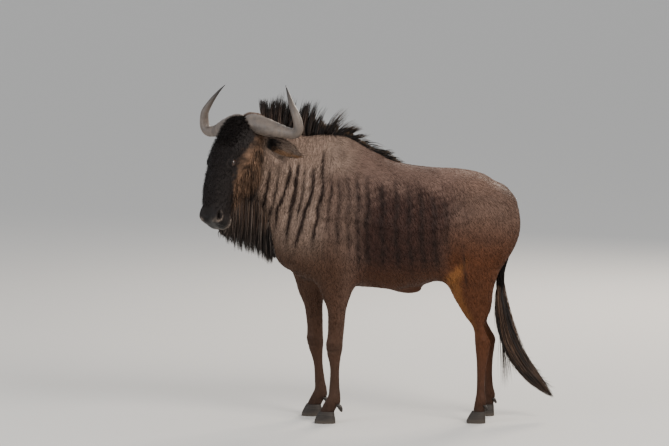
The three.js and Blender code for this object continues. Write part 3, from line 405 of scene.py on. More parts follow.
EARS = {side: Ear(s) for side, s in SIDES.items()}


def head_field(p):
    h = SKULL.near(p)
    for egg, fillet in HEAD_EGGS:
        h = join(h, egg.near(p), fillet)
    return h


HEAD_MIDDLE = HEAD_AXES.place(130, 20, 0)
HEAD_REACH = 420  # head and ears are only looked for this near the head's middle, along any axis


def flesh(p):
    """The whole skin without its fine detail: negative inside."""
    f = join(TRUNK.near(p), NECK.near(p), 90)
    for egg, fillet in BODY_EGGS:
        f = join(f, egg.near(p), fillet)
    legs = np.minimum.reduce([leg.near(p) for leg in LEG_LIMBS.values()])
    f = join(f, legs, 62)
    f = carve(f, CLEFT.near(p), 16)
    head = (np.abs(p - HEAD_MIDDLE) < HEAD_REACH).all(1)
    if head.any():
        q = p[head]
        h = join(f[head], head_field(q), 60)
        for ear in EARS.values():
            h = join(h, ear.near(q), 10)
        f[head] = h
    return f


def slope(field, p, step=0.4):
    """The field and its gradient, from four corners about each point."""
    corners = np.array([[1, 1, 1], [1, -1, -1], [-1, 1, -1], [-1, -1, 1]], float)
    total, gradient = 0, 0
    for corner in corners:
        value = field(p + corner * step)
        total = total + value / 4
        gradient = gradient + value[:, None] * corner
    return total, gradient / (4 * step)


def settled(p, field, rounds=3, most=8.0):
    """Points moved on to the field's skin."""
    for _ in range(rounds):
        value, g = slope(field, p)
        move = -(value / np.maximum((g * g).sum(1), 0.05))[:, None] * g
        length = np.linalg.norm(move, axis=1, keepdims=True)
        p = p + move * np.minimum(1, most / np.maximum(length, 1e-9))
    return p


def skin_ray(start, direction, reach=500.0, field=flesh):
    """Where rays from inside leave the skin."""
    start, direction = np.atleast_2d(start), np.atleast_2d(unit(direction))
    direction = np.broadcast_to(direction, start.shape)
    low, high = np.zeros(len(start)), np.full(len(start), reach)
    found = np.zeros(len(start), bool)
    for d in np.arange(0, reach, 8.0):
        out = (field(start + direction * d) > 0) & ~found
        high[out], low[out] = d, max(d - 8, 0)
        found |= out
        if found.all():
            break
    for _ in range(9):
        middle = (low + high) / 2
        out = field(start + direction * middle[:, None]) > 0
        high, low = np.where(out, middle, high), np.where(out, low, middle)
    return start + direction * low[:, None]


# Markings and painted light: one function gives the colour for skin and coat alike, with painted sheen, light and
# shade in it


def wander(p, size, seed, octaves=3):
    """A soft wandering number from about -1 to 1, with swells of the given size in millimetres."""
    rng = np.random.default_rng(seed)
    total, weight = 0, 0
    for octave in range(octaves):
        for _ in range(4):
            wave = unit(rng.normal(size=3)) * 2 * math.pi / size * 1.9**octave
            total = total + np.sin(p @ wave + rng.uniform(0, 6.3)) * 0.6**octave
        weight += 2 * 0.6**octave
    return total / weight


def rgb(red, green, blue):
    """A screen colour, 0 to 255, as linear light."""
    c = np.array([red, green, blue], float) / 255
    return np.where(c <= 0.04045, c / 12.92, ((c + 0.055) / 1.055) ** 2.4)


# The brindle stripes in side view: half width, strength, then x and z from the top down
BRINDLE = [
    (8, 0.85, (-627, 1290), (-655, 1118), (-672, 1040)),
    (7, 0.6, (-588, 1262), (-604, 1150), (-640, 1010)),
    (9, 1.0, (-533, 1262), (-547, 1176), (-591, 1075), (-610, 985)),
    (9, 1.0, (-493, 1292), (-511, 1147), (-533, 1018), (-558, 915)),
    (7, 0.55, (-462, 1270), (-472, 1150), (-500, 1010)),
    (9, 1.0, (-418, 1262), (-440, 1118), (-483, 989), (-516, 890)),
    (9, 0.9, (-374, 1320), (-379, 1176), (-404, 989), (-430, 900)),
    (8, 0.5, (-338, 1240), (-340, 1120), (-356, 940)),
    (9, 0.55, (-300, 1215), (-298, 1080), (-306, 880)),
    (9, 0.5, (-254, 1225), (-252, 1060), (-250, 860)),
    (11, 0.65, (-205, 1215), (-208, 1040), (-204, 790)),
    (12, 0.7, (-158, 1210), (-162, 1020), (-160, 800)),
    (13, 0.7, (-92, 1190), (-96, 1000), (-90, 790)),
    (12, 0.7, (-24, 1180), (-30, 960), (-22, 780)),
    (12, 0.65, (38, 1165), (34, 960), (44, 775)),
    (12, 0.65, (96, 1150), (94, 950), (108, 790)),
    (12, 0.6, (156, 1130), (158, 960), (176, 760)),
    (11, 0.45, (212, 1100), (218, 960), (236, 820)),
]


def stripes(p):
    """How dark the brindle stripes are: 1 in a stripe, 0 between."""
    x = p[:, 0] + 7 * wander(p, 230, 3) + 1.5 * wander(p, 60, 4)
    z = p[:, 2] + 24 * wander(p, 130, 5)
    frayed = 1.3 + 0.5 * wander(np.stack([p[:, 0], p[:, 1], p[:, 2] * 0.1], 1), 16, 6, 2)
    dark = np.zeros(len(p))
    for half, strength, *line in BRINDLE:
        line = np.array(line[::-1], float)
        at = np.interp(z, line[:, 1], line[:, 0])
        ends = ramp(z, line[0, 1] - 50, line[0, 1] + 50) * (1 - ramp(z, line[-1, 1] - 50, line[-1, 1] + 30))
        dark = np.maximum(dark, strength * ends * bump(x - at, half * (0.75 + 0.35 * ends)))
    return np.clip(dark * frayed, 0, 0.96)


def streaks(p, wide, long, seed):
    """Fine lines of lighter and darker hair, from about -1 to 1, that run down the body."""
    slant = 0.3 * (1 - ramp(p[:, 0], -520, -300))
    q = np.stack([p[:, 0] - slant * p[:, 2], p[:, 1], p[:, 2] * wide / long], 1)
    return wander(q, wide, seed, 2)


def mask_edge(along):
    """How far up out of the face the black mask starts, by the place along the nose."""
    return np.interp(along, [-130, -60, 0, 60, 110, 170, 250, 330, 400], [-10, 8, 26, 52, 66, 54, 24, -24, -70])


def head_share(p):
    """1 on the head, 0 on the neck and body."""
    a, u, v = HEAD_AXES.local(p)
    behind = (p - vec(-690, -112, 1350)) @ unit(vec(-0.9, -0.42, 0.12))
    near = 1 - ramp(np.hypot(np.abs(v), np.maximum(-u - 60, 0)), 120, 170)
    return ramp(behind, -14, 26) * near * ramp(a, -170, -120)


def markings(p, c):
    """Base colour at points of the drawing, with painted sheen, light and shade. c holds the maker's colours by name.
    """
    x, y, z = p.T
    n1, n2 = wander(p, 420, 21), wander(p, 130, 22)
    fine, long = streaks(p, 17, 170, 23), streaks(p, 46, 330, 24)
    tint = np.broadcast_to(c["back"], p.shape).copy()

    def share(weight):
        return np.clip(weight, 0, 1)[:, None]

    def over(name, weight):
        nonlocal tint
        tint = mix(tint, c[name], share(weight))

    flank = ramp(x + 26 * n2, -270, -150) * (1 - ramp(x + 30 * n1, 150, 370))
    flank = flank * (1 - ramp(z + 30 * n2 + 30 * fine, 1070, 1225 + 30 * n1))
    over("flank", flank)
    front = (1 - ramp(x + 40 * n1, -310, -150)) * ramp(z, 640, 800)
    shoulder = ramp(x, -450, -330) * (1 - ramp(z, 1190, 1290))
    tint = mix(tint, mix(c["neck"], c["shoulder"], share(shoulder)), share(front))
    belly = (1 - ramp(z + 25 * n1, 690, 860)) * ramp(x, -300, -150) * (1 - ramp(x, 240, 330))
    over("belly", 0.85 * belly)
    rump = ramp(x + 30 * n1, 200, 350)
    over("rump", rump * 0.85)
    # painted sheen: the top of the loin and rump is made up to 45% lighter, as where light falls on the back
    tint = tint * (1 + 0.45 * ramp(z - 0.2 * x, 1030, 1130) * ramp(x, 60, 300))[:, None]
    chest = (1 - ramp(z + 20 * n1, 770, 960)) * (1 - ramp(x, -330, -180))
    over("foreleg", chest * 0.9)
    thigh = ramp(x, 170, 260) * (1 - ramp(z + 25 * n1, 800, 1060))
    over("hindleg", thigh)
    # painted rim light: a band down the front edge of the hind leg gets the inner thigh's tan, as if lit; the inside
    # of the thighs has that tan as its own colour
    front_edge = np.interp(z, [440, 560, 640, 700, 790, 860], [352, 306, 272, 262, 292, 300])
    lit = (1 - ramp(x - front_edge + 8 * n2, -6, 44)) * ramp(x, 190, 240)
    inside = (1 - ramp(np.abs(y), 40, 92)) * ramp(x, 150, 230) * (1 - ramp(z, 760, 880))
    lit = lit * (1 - ramp(z - np.interp(x, [198, 317], [716, 812]) + 8 * n2, -30, 18))
    over("inner", np.maximum(inside, 0.75 * lit) * ramp(z, 360, 520) * 0.8)
    # painted shade: a dark line, in the stripes' colour, down the fold at the stifle
    fold_shade = bump(x - np.interp(z, [640, 715, 840], [322, 315, 300]), 6) * ramp(z, 660, 720) * (1 - ramp(z, 850, 930))
    over("stripe", 0.7 * fold_shade * ramp(np.abs(y), 60, 100))
    low = (1 - ramp(z, 130, 420)) * 0.6 + 0.4 * (1 - ramp(z, 50, 130))
    over("shin", low * 0.9)
    knee = bump(z - 372, 34) * (1 - ramp(x, 0, 100)) * (0.7 + 0.5 * n2)
    over("shin", 0.5 * knee)
    dark = stripes(p)
    over("stripe", dark)
    # painted sheen: the upper neck and the front of the shoulder are made lighter between the stripes, as a highlight
    # on the hair
    painted_sheen = ramp(z, 880, 1040) * (1 - ramp(x, -400, -260)) * (1 - dark)
    lines = (0.15 + 0.2 * painted_sheen + 0.1 * flank) * fine * ramp(z, 560, 760)
    tint = tint * (1 + 0.3 * painted_sheen + lines + 0.14 * long * (0.3 + 0.7 * front))[:, None]
    throat = (1 - ramp((p - NECK_BASE) @ NECK_AXES.up, -210, -150)) * ramp((p - NECK_BASE) @ NECK_AXES.along, 190, 320)
    over("hair", throat * 0.75)
    crest = 1 - ramp(np.abs(y - np.interp(x, [-668, -530, -400, -350], [-80, -33, -6, 0])), 8, 26)
    crest = crest * ramp(z, 1190, 1240) * (1 - ramp(x, -60, 120)) * ramp(x, -700, -660)
    over("hair", 0.9 * crest)
    tint = tint * (1 + 0.10 * n2)[:, None]
    # the head
    a, u, v = HEAD_AXES.local(p)
    on_head = head_share(p)
    line = np.stack([(a * 0.55 + u * 0.83) * 0.12, v, a * 0.83 - u * 0.55], 1)
    strand = wander(line, 26, 33, 2)
    cheek = c["cheek"] * np.maximum(1 + 0.6 * strand + 0.25 * wander(p, 90, 31), 0.3)[:, None]
    black = ramp(u - mask_edge(a) + 13 * wander(p, 46, 32) + 12 * strand, -24, 20)
    black = np.maximum(black, ramp(-u + 0.25 * a, 96, 128))
    black = np.maximum(black, 0.8 * (1 - ramp(np.hypot(a - 128, u - 84), 18, 34)))
    black = np.maximum(black, ramp(a - 0.4 * u, 300, 350))
    face = mix(cheek, c["face"], share(black))
    lip = bump(u + 30, 13) * ramp(a, 350, 384) * (0.6 + 0.5 * wander(p, 22, 35))
    # painted highlight: a pale crescent round the wing of each nostril; the pale rim of the lips is their own colour
    ring = np.hypot((a - 400) / 27, (u - 56) / 22)
    wing = bump(ring - 0.92, 0.24) * ramp(np.abs(v), 20, 34) * ramp(-(u - 56) * 0.8 + (a - 400) * 0.3, -16, 12)
    pad = ramp(a, 396, 424) * ramp(u, -30, -10)
    face = mix(face, c["nose"], share(pad * 0.8))
    pale = np.maximum(lip * (0.5 + 0.6 * (wander(p, 15, 37) > 0)), 0.8 * wing * (0.6 + 0.6 * wander(p, 26, 36)))
    face = mix(face, c["lip"], share(pale))
    tint = mix(tint, face, share(on_head))
    for ear in EARS.values():
        s, b, o = ear.local(p)
        _, half, deep = EAR_ROWS(s).T
        r = np.hypot(b / half, o / deep)
        on = ramp(s, 0.02, 0.16) * (1 - ramp(r, 1.25, 1.6)) * (s < 1.1)
        inside = (1 - ramp(r, 0.80, 0.93)) * (o > -deep * 0.8)
        lower = -b * np.sign(ear.broad[2]) / half
        # painted shade and light in the ear's cup: near-black deep at its root, the ear's colour darkened further out,
        # and a tan on the lower side as if lit
        lit = ramp(lower + 0.2 * strand, -0.1, 0.45) * ramp(s, 0.22, 0.4)
        cup = mix(mix(c["hair"], c["ear"] * 0.8, share(ramp(s, 0.3, 0.5))), c["ear_cup_light"], share(0.9 * lit))
        leaf = mix(c["ear"] * (1 + 0.2 * fine)[:, None], cup, share(inside))
        leaf = mix(leaf, c["stripe"], share(0.5 * ramp(-lower, 0.86, 1.0) + 0.4 * ramp(s, 0.85, 1)))
        tint = mix(tint, leaf, share(on))
    return np.clip(tint, 0.002, 0.9)


# Meshes


def linked(name, mesh):
    piece = bpy.data.objects.new(name, mesh)
    bpy.context.scene.collection.objects.link(piece)
    return piece


def finished(piece, material, slot, *nodes):
    """A piece gets its finish, rides on the body and stands for its solids."""
    piece.data.materials.clear()
    piece.data.materials.append(material)
    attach(piece, "root")
    if nodes:
        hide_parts(*nodes)
    return piece


def mesh_from(bm, name):
    mesh = bpy.data.meshes.new(name)
    bm.to_mesh(mesh)
    bm.free()
    return mesh


def bm_from(mesh):
    """Takes a mesh's surface over for editing and drops the mesh."""
    bm = bmesh.new()
    bm.from_mesh(mesh)
    bpy.data.meshes.remove(mesh)
    return bm


def piece_from(bm, name):
    """A smooth piece with its faces turned outwards."""
    bmesh.ops.recalc_face_normals(bm, faces=bm.faces)
    mesh = mesh_from(bm, name)
    mesh.shade_smooth()
    return linked(name, mesh)


def sweep(bm, place, around, steps):
    """A closed surface from a sphere of rings: place(s, angle) gives the points, with s from 0 to 1."""
    made = bmesh.ops.create_uvsphere(bm, u_segments=around, v_segments=steps, radius=1)["verts"]
    ball = np.array([v.co for v in made])
    s = np.arccos(np.clip(-ball[:, 2], -1, 1)) / np.pi
    points = place(s, np.arctan2(ball[:, 1], ball[:, 0]))
    for i in np.flatnonzero(np.hypot(ball[:, 0], ball[:, 1]) < 1e-4):
        points[i] = place(np.full(8, s[i]), np.arange(8) * np.pi / 4).mean(0)
    for v, co in zip(made, metres(points)):
        v.co = co
    return made


def remeshed(bm, voxel):
    """One closed surface of even quads over overlapping closed shapes."""
    mesh = mesh_from(bm, "closed")
    piece = linked("closed", mesh)
    closed = piece.modifiers.new("Closed", "REMESH")
    closed.mode, closed.voxel_size = "VOXEL", voxel
    made = bpy.data.meshes.new_from_object(piece.evaluated_get(bpy.context.evaluated_depsgraph_get()))
    bpy.data.objects.remove(piece)
    bpy.data.meshes.remove(mesh)
    return made


def column(items, name, width=1, kind=np.float32):
    """One named value of each of a mesh's vertices, edges or faces."""
    flat = np.empty(len(items) * width, kind)
    items.foreach_get(name, flat)
    return flat.reshape(-1, width) if width > 1 else flat


def places(mesh):
    """A mesh's points in the drawing's millimetres."""
    return drawn(column(mesh.vertices, "co", 3))


def set_places(mesh, p):
    mesh.vertices.foreach_set("co", metres(p).astype(np.float32).ravel())
    mesh.update()


def edges_of(mesh):
    return column(mesh.edges, "vertices", 2, np.int32)


def relaxed(p, edges, rounds, share=0.5):
    """Points drawn towards the middle of their neighbours."""
    a, b = edges.T
    n = len(p)
    count = np.maximum(np.bincount(a, minlength=n) + np.bincount(b, minlength=n), 1)[:, None]
    for _ in range(rounds):
        total = [np.bincount(a, p[b, k], n) + np.bincount(b, p[a, k], n) for k in range(3)]
        p = p + share * (np.stack(total, 1) / count - p)
    return p


def shells(forms, around=28, steps=26):
    """The closed surfaces of several forms, laid over one another."""
    bm = bmesh.new()
    for form in forms:
        sweep(bm, form.shell, around, steps)
    bmesh.ops.recalc_face_normals(bm, faces=bm.faces)
    return bm


def skin_part(forms, voxel):
    """Closed shapes grown together: remeshed, moved on to the flesh's surface, and evened out."""
    mesh = remeshed(shells(forms), voxel)
    p = settled(places(mesh), flesh, 3, 14)
    set_places(mesh, settled(relaxed(p, edges_of(mesh), 2), flesh, 1))
    mesh = remeshed(bm_from(mesh), voxel)
    p = settled(places(mesh), flesh, 2)
    set_places(mesh, settled(relaxed(p, edges_of(mesh), 2), flesh, 1))
    return mesh


SKIN_SPLIT = 290  # along the neck: even, coarser quads below, fine ones above
SKIN_GAP = 5  # left open between the two, and bridged


def keep_side(mesh, side):
    """Cuts a mesh across the neck and keeps the body's side (-1) or the head's (1)."""
    bm = bm_from(mesh)
    point = metres(NECK_AXES.place(SKIN_SPLIT + side * SKIN_GAP / 2, 0, 0))
    bmesh.ops.bisect_plane(
        bm, geom=bm.verts[:] + bm.edges[:] + bm.faces[:], dist=1e-5,
        plane_co=point, plane_no=NECK_AXES.along,
        clear_outer=side < 0, clear_inner=side > 0,
    )
    return bm


def joined_skin(voxel_body, voxel_head):
    """Body and head made apart, each with its own size of quad, and bridged round the neck."""
    body = [TRUNK, NECK, *(e for e, _ in BODY_EGGS), *LEG_LIMBS.values()]
    head = [NECK, SKULL, *(e for e, _ in HEAD_EGGS), *EARS.values()]
    low = keep_side(skin_part(body + [SKULL], voxel_body), -1)
    high = keep_side(skin_part(head, voxel_head), 1)
    part = mesh_from(high, "high")
    low.from_mesh(part)
    bpy.data.meshes.remove(part)
    bmesh.ops.bridge_loops(low, edges=[e for e in low.edges if e.is_boundary])
    return low


def finer(bm, chosen):
    """Splits the chosen quads once."""
    edges = {e for f in bm.faces if chosen(f.calc_center_median()) for e in f.edges}
    bmesh.ops.subdivide_edges(bm, edges=list(edges), cuts=1, use_grid_fill=True, smooth=0)


# Fine forms of the skin, in millimetres out of it


def line_bump(p, a, b, width, height):
    """A ridge (or a groove) along a line in side view, on both flanks."""
    a, b = np.array(a, float), np.array(b, float)
    d = p[:, [0, 2]] - a
    line = b - a
    t = np.clip(d @ line / (line @ line), 0, 1)
    away = np.linalg.norm(d - t[:, None] * line, axis=1)
    return height * bump(away, width) * ramp(np.abs(p[:, 1]), 40, 90)


def body_detail(p):
    x, y, z = p.T
    ribs = ramp(x, -190, -110) * (1 - ramp(x, 240, 330)) * ramp(z, 730, 800) * (1 - ramp(z, 1080, 1200))
    out = 1.6 * np.cos(2 * math.pi * (x + 0.12 * (z - 900)) / 56) * ribs
    out -= 1.6 * stripes(p)
    for a, b, width, height in (
        ((-285, 1320), (-455, 960), 26, 5.0),  # spine of the shoulder blade
        ((-190, 1190), (-236, 860), 34, -6.0),  # behind the shoulder
        ((-330, 1090), (-390, 1040), 40, -3.0),
        ((-300, 900), (-250, 780), 30, 3.5),  # elbow
        ((-380, 1000), (-500, 820), 22, -4.0),  # between shoulder and breast
        ((285, 1185), (330, 1150), 34, 6.0),  # point of the hip
        ((200, 1120), (260, 1010), 58, -7.0),  # flank hollow
        ((230, 900), (300, 760), 34, -5.0),  # fold to the stifle
        ((300, 800), (330, 740), 44, 4.0),  # stifle
        ((400, 1090), (470, 760), 20, -4.0),  # between the thigh's muscles
        ((350, 1000), (330, 840), 36, 3.0),
        ((505, 1090), (520, 1040), 26, 5.0),  # pin bone
    ):
        out += line_bump(p, a, b, width, height)
    below = 1 - ramp(z, 600, 700)
    for name, (_, foot, side, lean, lean_to, _) in LEGS.items():
        ahead = lean * np.clip((z - LEAN_FROM) / (lean_to - LEAN_FROM), 0, 1)
        d = x - (foot - ahead)
        own = below * (np.sign(-y) == side) * (np.abs(d) < 170)
        across = np.abs(y + side * (STANCE - 10 * np.clip((z - 60) / 300, 0, 1)))
        shank = ramp(z, 120, 150) * (1 - ramp(z, 300, 350))
        out += own * shank * -2.6 * bump(d - 9, 7) * ramp(across, 8, 16)
        if name.startswith("fore"):
            out += own * (2.5 * bump(z - 392, 16) - 1.8 * bump(z - 352, 9)) * (d < 0)
            out += own * -2.5 * bump(d - 4, 9) * ramp(z, 430, 470) * ramp(across, 12, 24)
        else:
            out += own * -6.0 * bump(d - 20, 11) * ramp(z, 400, 440) * (1 - ramp(z, 560, 620)) * ramp(across, 8, 20)
    return out


def head_detail(p):
    """Nostrils, lips, folds and the hollows of the face."""
    a, u, v = HEAD_AXES.local(p)
    side = np.abs(v)
    out = np.zeros(len(p))
    # nostrils: a long comma on each side, under a raised wing
    c, s = math.cos(math.radians(30)), math.sin(math.radians(30))
    da, du = a - 401, u - 58
    long, short = da * c - du * s, da * s + du * c
    ring = np.hypot(long / 27, (short + 0.012 * long * long) / 10)
    outer = ramp(side, 18, 30)
    out += outer * (-17 * (1 - ramp(ring, 0.35, 1.08)) + 4.6 * bump(ring - 1.5, 0.36))
    out += outer * -2.6 * bump(ring - 2.3, 0.3) * ramp(-long, 0, 20)
    # line of the mouth and the lips
    line = -36 + 6 * ramp(side, 10, 46) + 10 * ramp(-a, -388, -330)
    gap = u - line
    mouth = ramp(a, 318, 338)
    out += mouth * (-6.5 * bump(gap, 2.3) + 2.6 * bump(gap - 9, 6) + 2.0 * bump(gap + 8, 5))
    # soft wrinkles round lips and nostrils
    soft = ramp(a, 330, 380) * 0.5
    out += soft * np.sin(0.42 * u + 0.12 * a + 2 * wander(p, 50, 41)) * ramp(side, 20, 40)
    # hollows before and above the eye and on the muzzle, then the cheek's edge and the long bone of the nose
    for deep, at, stretch, up, width, low, high in (
        (-5.5, 182, 1.6, 78, 17, 40, 60), (-4.0, 70, 1.5, 52, 20, 40, 60), (-3.5, 250, 2.4, 30, 26, 30, 48),
    ):
        out += deep * bump(np.hypot((a - at) / stretch, u - up), width) * ramp(side, low, high)
    out += 3.0 * bump(np.hypot((a - 90) / 3.2, u + 4 + 0.2 * (a - 90)), 14) * ramp(side, 50, 66)
    out += -2.6 * bump(side - 30, 9) * ramp(u, 40, 90) * ramp(a, 170, 220) * (1 - ramp(a, 330, 370))
    return out


EYE_RADIUS, EYE_SUNK = 20, 13
LID_RADIUS, SOCKET_RADIUS = 22.6, 17.0  # the lid over the ball, and the skin behind its front


def eye_frame(side):
    """Centre of an eye and its own directions: out, along the face, up."""
    out = unit(0.12 * HEAD_AXES.along + 0.1 * HEAD_AXES.up + side * HEAD_AXES.side)
    skin = skin_ray(HEAD_AXES.place(130, 88, 0), out, 200, head_field)[0]
    along = unit(HEAD_AXES.along - (HEAD_AXES.along @ out) * out)
    up = np.cross(out, along) * (-side)
    if up @ HEAD_AXES.up < 0:
        up = -up
    return skin - out * EYE_SUNK, out, along, up


EYES = {side: eye_frame(s) for side, s in SIDES.items()}


def lid_lines(x):
    """Upper and lower edge of the open eye, x along the face from the middle."""
    open_share = np.maximum(1 - (x / 19.5) ** 2, 0)
    return 11.0 * open_share**0.75 - 0.10 * x, -8.5 * open_share**0.8 - 0.10 * x


def with_eyes(p):
    """Opens the skin over each eyeball and wraps a thick lid round it."""
    p = p.copy()
    for centre, out, along, up in EYES.values():
        d = p - centre
        x, y, h = d @ along, d @ up, d @ out
        r = np.hypot(x, y)
        near = (r < 44) & (h > -10)
        x, y, h, r = x[near], y[near], h[near], r[near]
        top, bottom = lid_lines(x)
        inside = np.minimum(top - y, y - bottom)
        lid = np.sqrt(np.maximum(LID_RADIUS**2 - r * r, 0))
        fold = -2.2 * bump(y - top - 8.5, 2.0) - 1.4 * bump(bottom - y - 7, 1.8)
        fold = fold * (1 - ramp(np.abs(x), 20, 30))
        swell = 0.9 * bump(y - top - 2.5, 2.6) + 0.6 * bump(bottom - y - 2.2, 2.4)
        outside = -join(-h, -lid, 9) + fold + swell * (1 - ramp(np.abs(x), 18, 24))
        behind = np.sqrt(np.maximum(SOCKET_RADIUS**2 - r * r, 0))
        new = mix(outside, behind, ramp(inside, 0.0, 2.2))
        new = mix(new, h, ramp(r, 34, 44))
        p[near] += (new - h)[:, None] * out
    return p


# Finishes


class Sock:
    """Wraps a shader socket, so that maths on it is written as Python expressions."""

    def __init__(self, nodes, socket):
        self.nodes, self.socket = nodes, socket

    def _math(self, kind, a, b):
        return self.nodes.node("ShaderNodeMath", {"operation": kind}, {0: a, 1: b})[0]

    def __sub__(self, other):
        return self._math("SUBTRACT", self, other)

    def __rsub__(self, other):
        return self._math("SUBTRACT", other, self)

    def __mul__(self, other):
        return self._math("MULTIPLY", self, other)

    def __rmul__(self, other):
        return self._math("MULTIPLY", other, self)


class Nodes:
    """A material's node tree."""

    def __init__(self, name):
        self.material = bpy.data.materials.new(name)
        self.material.use_nodes = True
        self.tree = self.material.node_tree
        self.tree.nodes.clear()

    def node(self, kind, settings=None, values=None):
        """A node with its settings, then its sockets' values or links. Gives its outputs."""
        made = self.tree.nodes.new(kind)
        for key, value in (settings or {}).items():
            setattr(made, key, value)
        for key, value in (values or {}).items():
            if isinstance(value, Sock):
                self.tree.links.new(value.socket, made.inputs[key])
            else:
                made.inputs[key].default_value = value
        return [Sock(self, out) for out in made.outputs]

    def attribute(self, name):
        """The colour and the plain number of a mesh attribute."""
        out = self.node("ShaderNodeAttribute", {"attribute_name": name})
        return out[0], out[2]

    def blend(self, share, a, b):
        """Two colours mixed."""
        return self.node("ShaderNodeMix", {"data_type": "RGBA"}, {0: share, 6: a, 7: b})[2]

    def noise(self, scale, detail=3.0, stretch=(1, 1, 1), roughness=0.55):
        place = self.node("ShaderNodeTexCoord")[3]
        place = self.node("ShaderNodeMapping", {}, {"Vector": place, "Scale": stretch})[0]
        return self.node(
            "ShaderNodeTexNoise", {},
            {"Vector": place, "Scale": scale, "Detail": detail, "Roughness": roughness},
        )[0]

    def remap(self, value, low, high, out_low=0.0, out_high=1.0):
        return self.node(
            "ShaderNodeMapRange", {},
            {0: value, 1: low, 2: high, 3: out_low, 4: out_high},
        )[0]

    def finish(self, **inputs):
        """The surface. bump is (height, strength, distance in metres), one or more."""
        normal = None
        for height, strength, distance in inputs.pop("bump", ()):
            values = {"Height": height, "Strength": strength, "Distance": distance}
            if normal is not None:
                values["Normal"] = normal
            normal = self.node("ShaderNodeBump", {}, values)[0]
        if normal is not None:
            inputs["Normal"] = normal
        shader = self.node("ShaderNodeBsdfPrincipled", {}, {k.replace("_", " "): v for k, v in inputs.items()})[0]
        self.node("ShaderNodeOutputMaterial", {}, {"Surface": shader})
        return self.material


def skin_finish():
    n = Nodes("short_fur")
    tint = n.attribute("Tint")[0]
    wet = n.attribute("Bare")[1]
    hair = n.noise(260, 4, (1, 1, 0.22), 0.65)
    pores = n.noise(900, 2)
    colour = n.blend(n.remap(hair, 0.3, 0.75, 0.0, 0.5) * (1 - wet), tint, (0.008, 0.006, 0.005, 1))
    rough = n.remap(hair, 0.3, 0.7, 0.55, 0.75) - 0.25 * wet
    return n.finish(
        Base_Color=colour, Roughness=rough, Specular_IOR_Level=0.14,
        bump=((hair * (1 - wet), 0.5, 0.0022), (pores * wet, 0.35, 0.0012)),
    )


def coat_finish(name, roughness, specular=0.12):
    n = Nodes(name)
    tint = n.attribute("Tint")[0]
    strand = n.noise(420, 3, (1, 1, 0.2), 0.6)
    colour = n.blend(n.remap(strand, 0.3, 0.72, 0.0, 0.35), tint, (0.008, 0.006, 0.005, 1))
    rough = n.remap(strand, 0.3, 0.7, roughness - 0.08, roughness + 0.1)
    return n.finish(
        Base_Color=colour, Roughness=rough, Specular_IOR_Level=specular, bump=((strand, 0.4, 0.0012),),
    )


def horn_finish(settings):
    n = Nodes("horn")
    along = n.attribute("Along")[1]
    broad = n.noise(26, 4)
    fine = n.noise(210, 4, (1, 1, 0.6), 0.7)
    scratch = n.noise(90, 5, (1, 1, 3.5), 0.75)
    base = tuple(settings.horn) + (1,)
    tip = tuple(settings.horn_tip) + (1,)
    colour = n.blend(n.remap(broad, 0.32, 0.72), base, (base[0] * 1.9, base[1] * 1.85, base[2] * 1.75, 1))
    colour = n.blend(n.remap(scratch, 0.5, 0.72, 0, 0.55), colour, (0.045, 0.036, 0.030, 1))
    colour = n.blend(n.remap(along, 0.66, 0.93), colour, tip)
    rough = n.remap(fine, 0.3, 0.7, 0.38, 0.58)
    return n.finish(
        Base_Color=colour, Roughness=rough,
        bump=((scratch, 0.5, 0.0022), (fine, 0.35, 0.0009)),
    )


def hoof_finish():
    n = Nodes("hoof")
    rings = n.noise(70, 3, (0.25, 0.25, 4.2), 0.6)
    fine = n.noise(320, 3)
    dust = n.remap(n.attribute("Along")[1], 0.0, 0.4, 0.45, 0.0)
    colour = n.blend(n.remap(rings, 0.32, 0.7), (0.014, 0.011, 0.009, 1), (0.042, 0.032, 0.026, 1))
    colour = n.blend(dust, colour, (0.115, 0.092, 0.072, 1))
    return n.finish(
        Base_Color=colour, Roughness=n.remap(fine, 0.3, 0.7, 0.5, 0.72), Specular_IOR_Level=0.3,
        bump=((rings, 0.5, 0.0016), (fine, 0.3, 0.0006)),
    )


def eye_finish():
    n = Nodes("eye")
    tint = n.attribute("Tint")[0]
    fine = n.noise(900, 3)
    colour = n.blend(n.remap(fine, 0.3, 0.7, 0, 0.35), tint, (0.004, 0.002, 0.001, 1))
    return n.finish(
        Base_Color=colour, Roughness=0.3, Coat_Weight=0.2, Coat_Roughness=0.1,
        bump=((fine, 0.05, 0.0002),),
    )


# Hair


class Chart:
    """An unwrap of the skin by limb: each limb's length and girth fill its own part of the square."""

    FIELDS = [
        (TRUNK, (0.01, 0.51, 0.48, 0.48)),
        (NECK, (0.51, 0.51, 0.28, 0.48)),
        (SKULL, (0.51, 0.01, 0.48, 0.48)),
    ] + [(limb, (0.01, 0.01 + 0.12 * i, 0.48, 0.11)) for i, limb in enumerate(LEG_LIMBS.values())]

    @classmethod
    def places(cls, p):
        away = np.stack([limb.field(p) for limb, _ in cls.FIELDS], 1)
        nearest = away.argmin(1)
        uv = np.zeros((len(p), 2))
        for i, (limb, (left, low, wide, tall)) in enumerate(cls.FIELDS):
            own = nearest == i
            if not own.any():
                continue
            t, u, v = limb.axes.local(p[own])
            _, top, bottom, _, shift, _, _ = limb.at(t).T
            girth = (np.arctan2(v - shift, u - (top + bottom) / 2) / (2 * math.pi)) + 0.5
            length = (t - limb.at.start + limb.cap) / (limb.at.end - limb.at.start + 2 * limb.cap)
            uv[own] = np.stack([left + wide * np.clip(length, 0, 1), low + tall * girth], 1)
        return uv


PATCH = 0.003  # a lock's own part of the square
CORNERS = ((-1, 0), (1, 0), (0, 1))  # of a lock's cross section: breadth, thickness


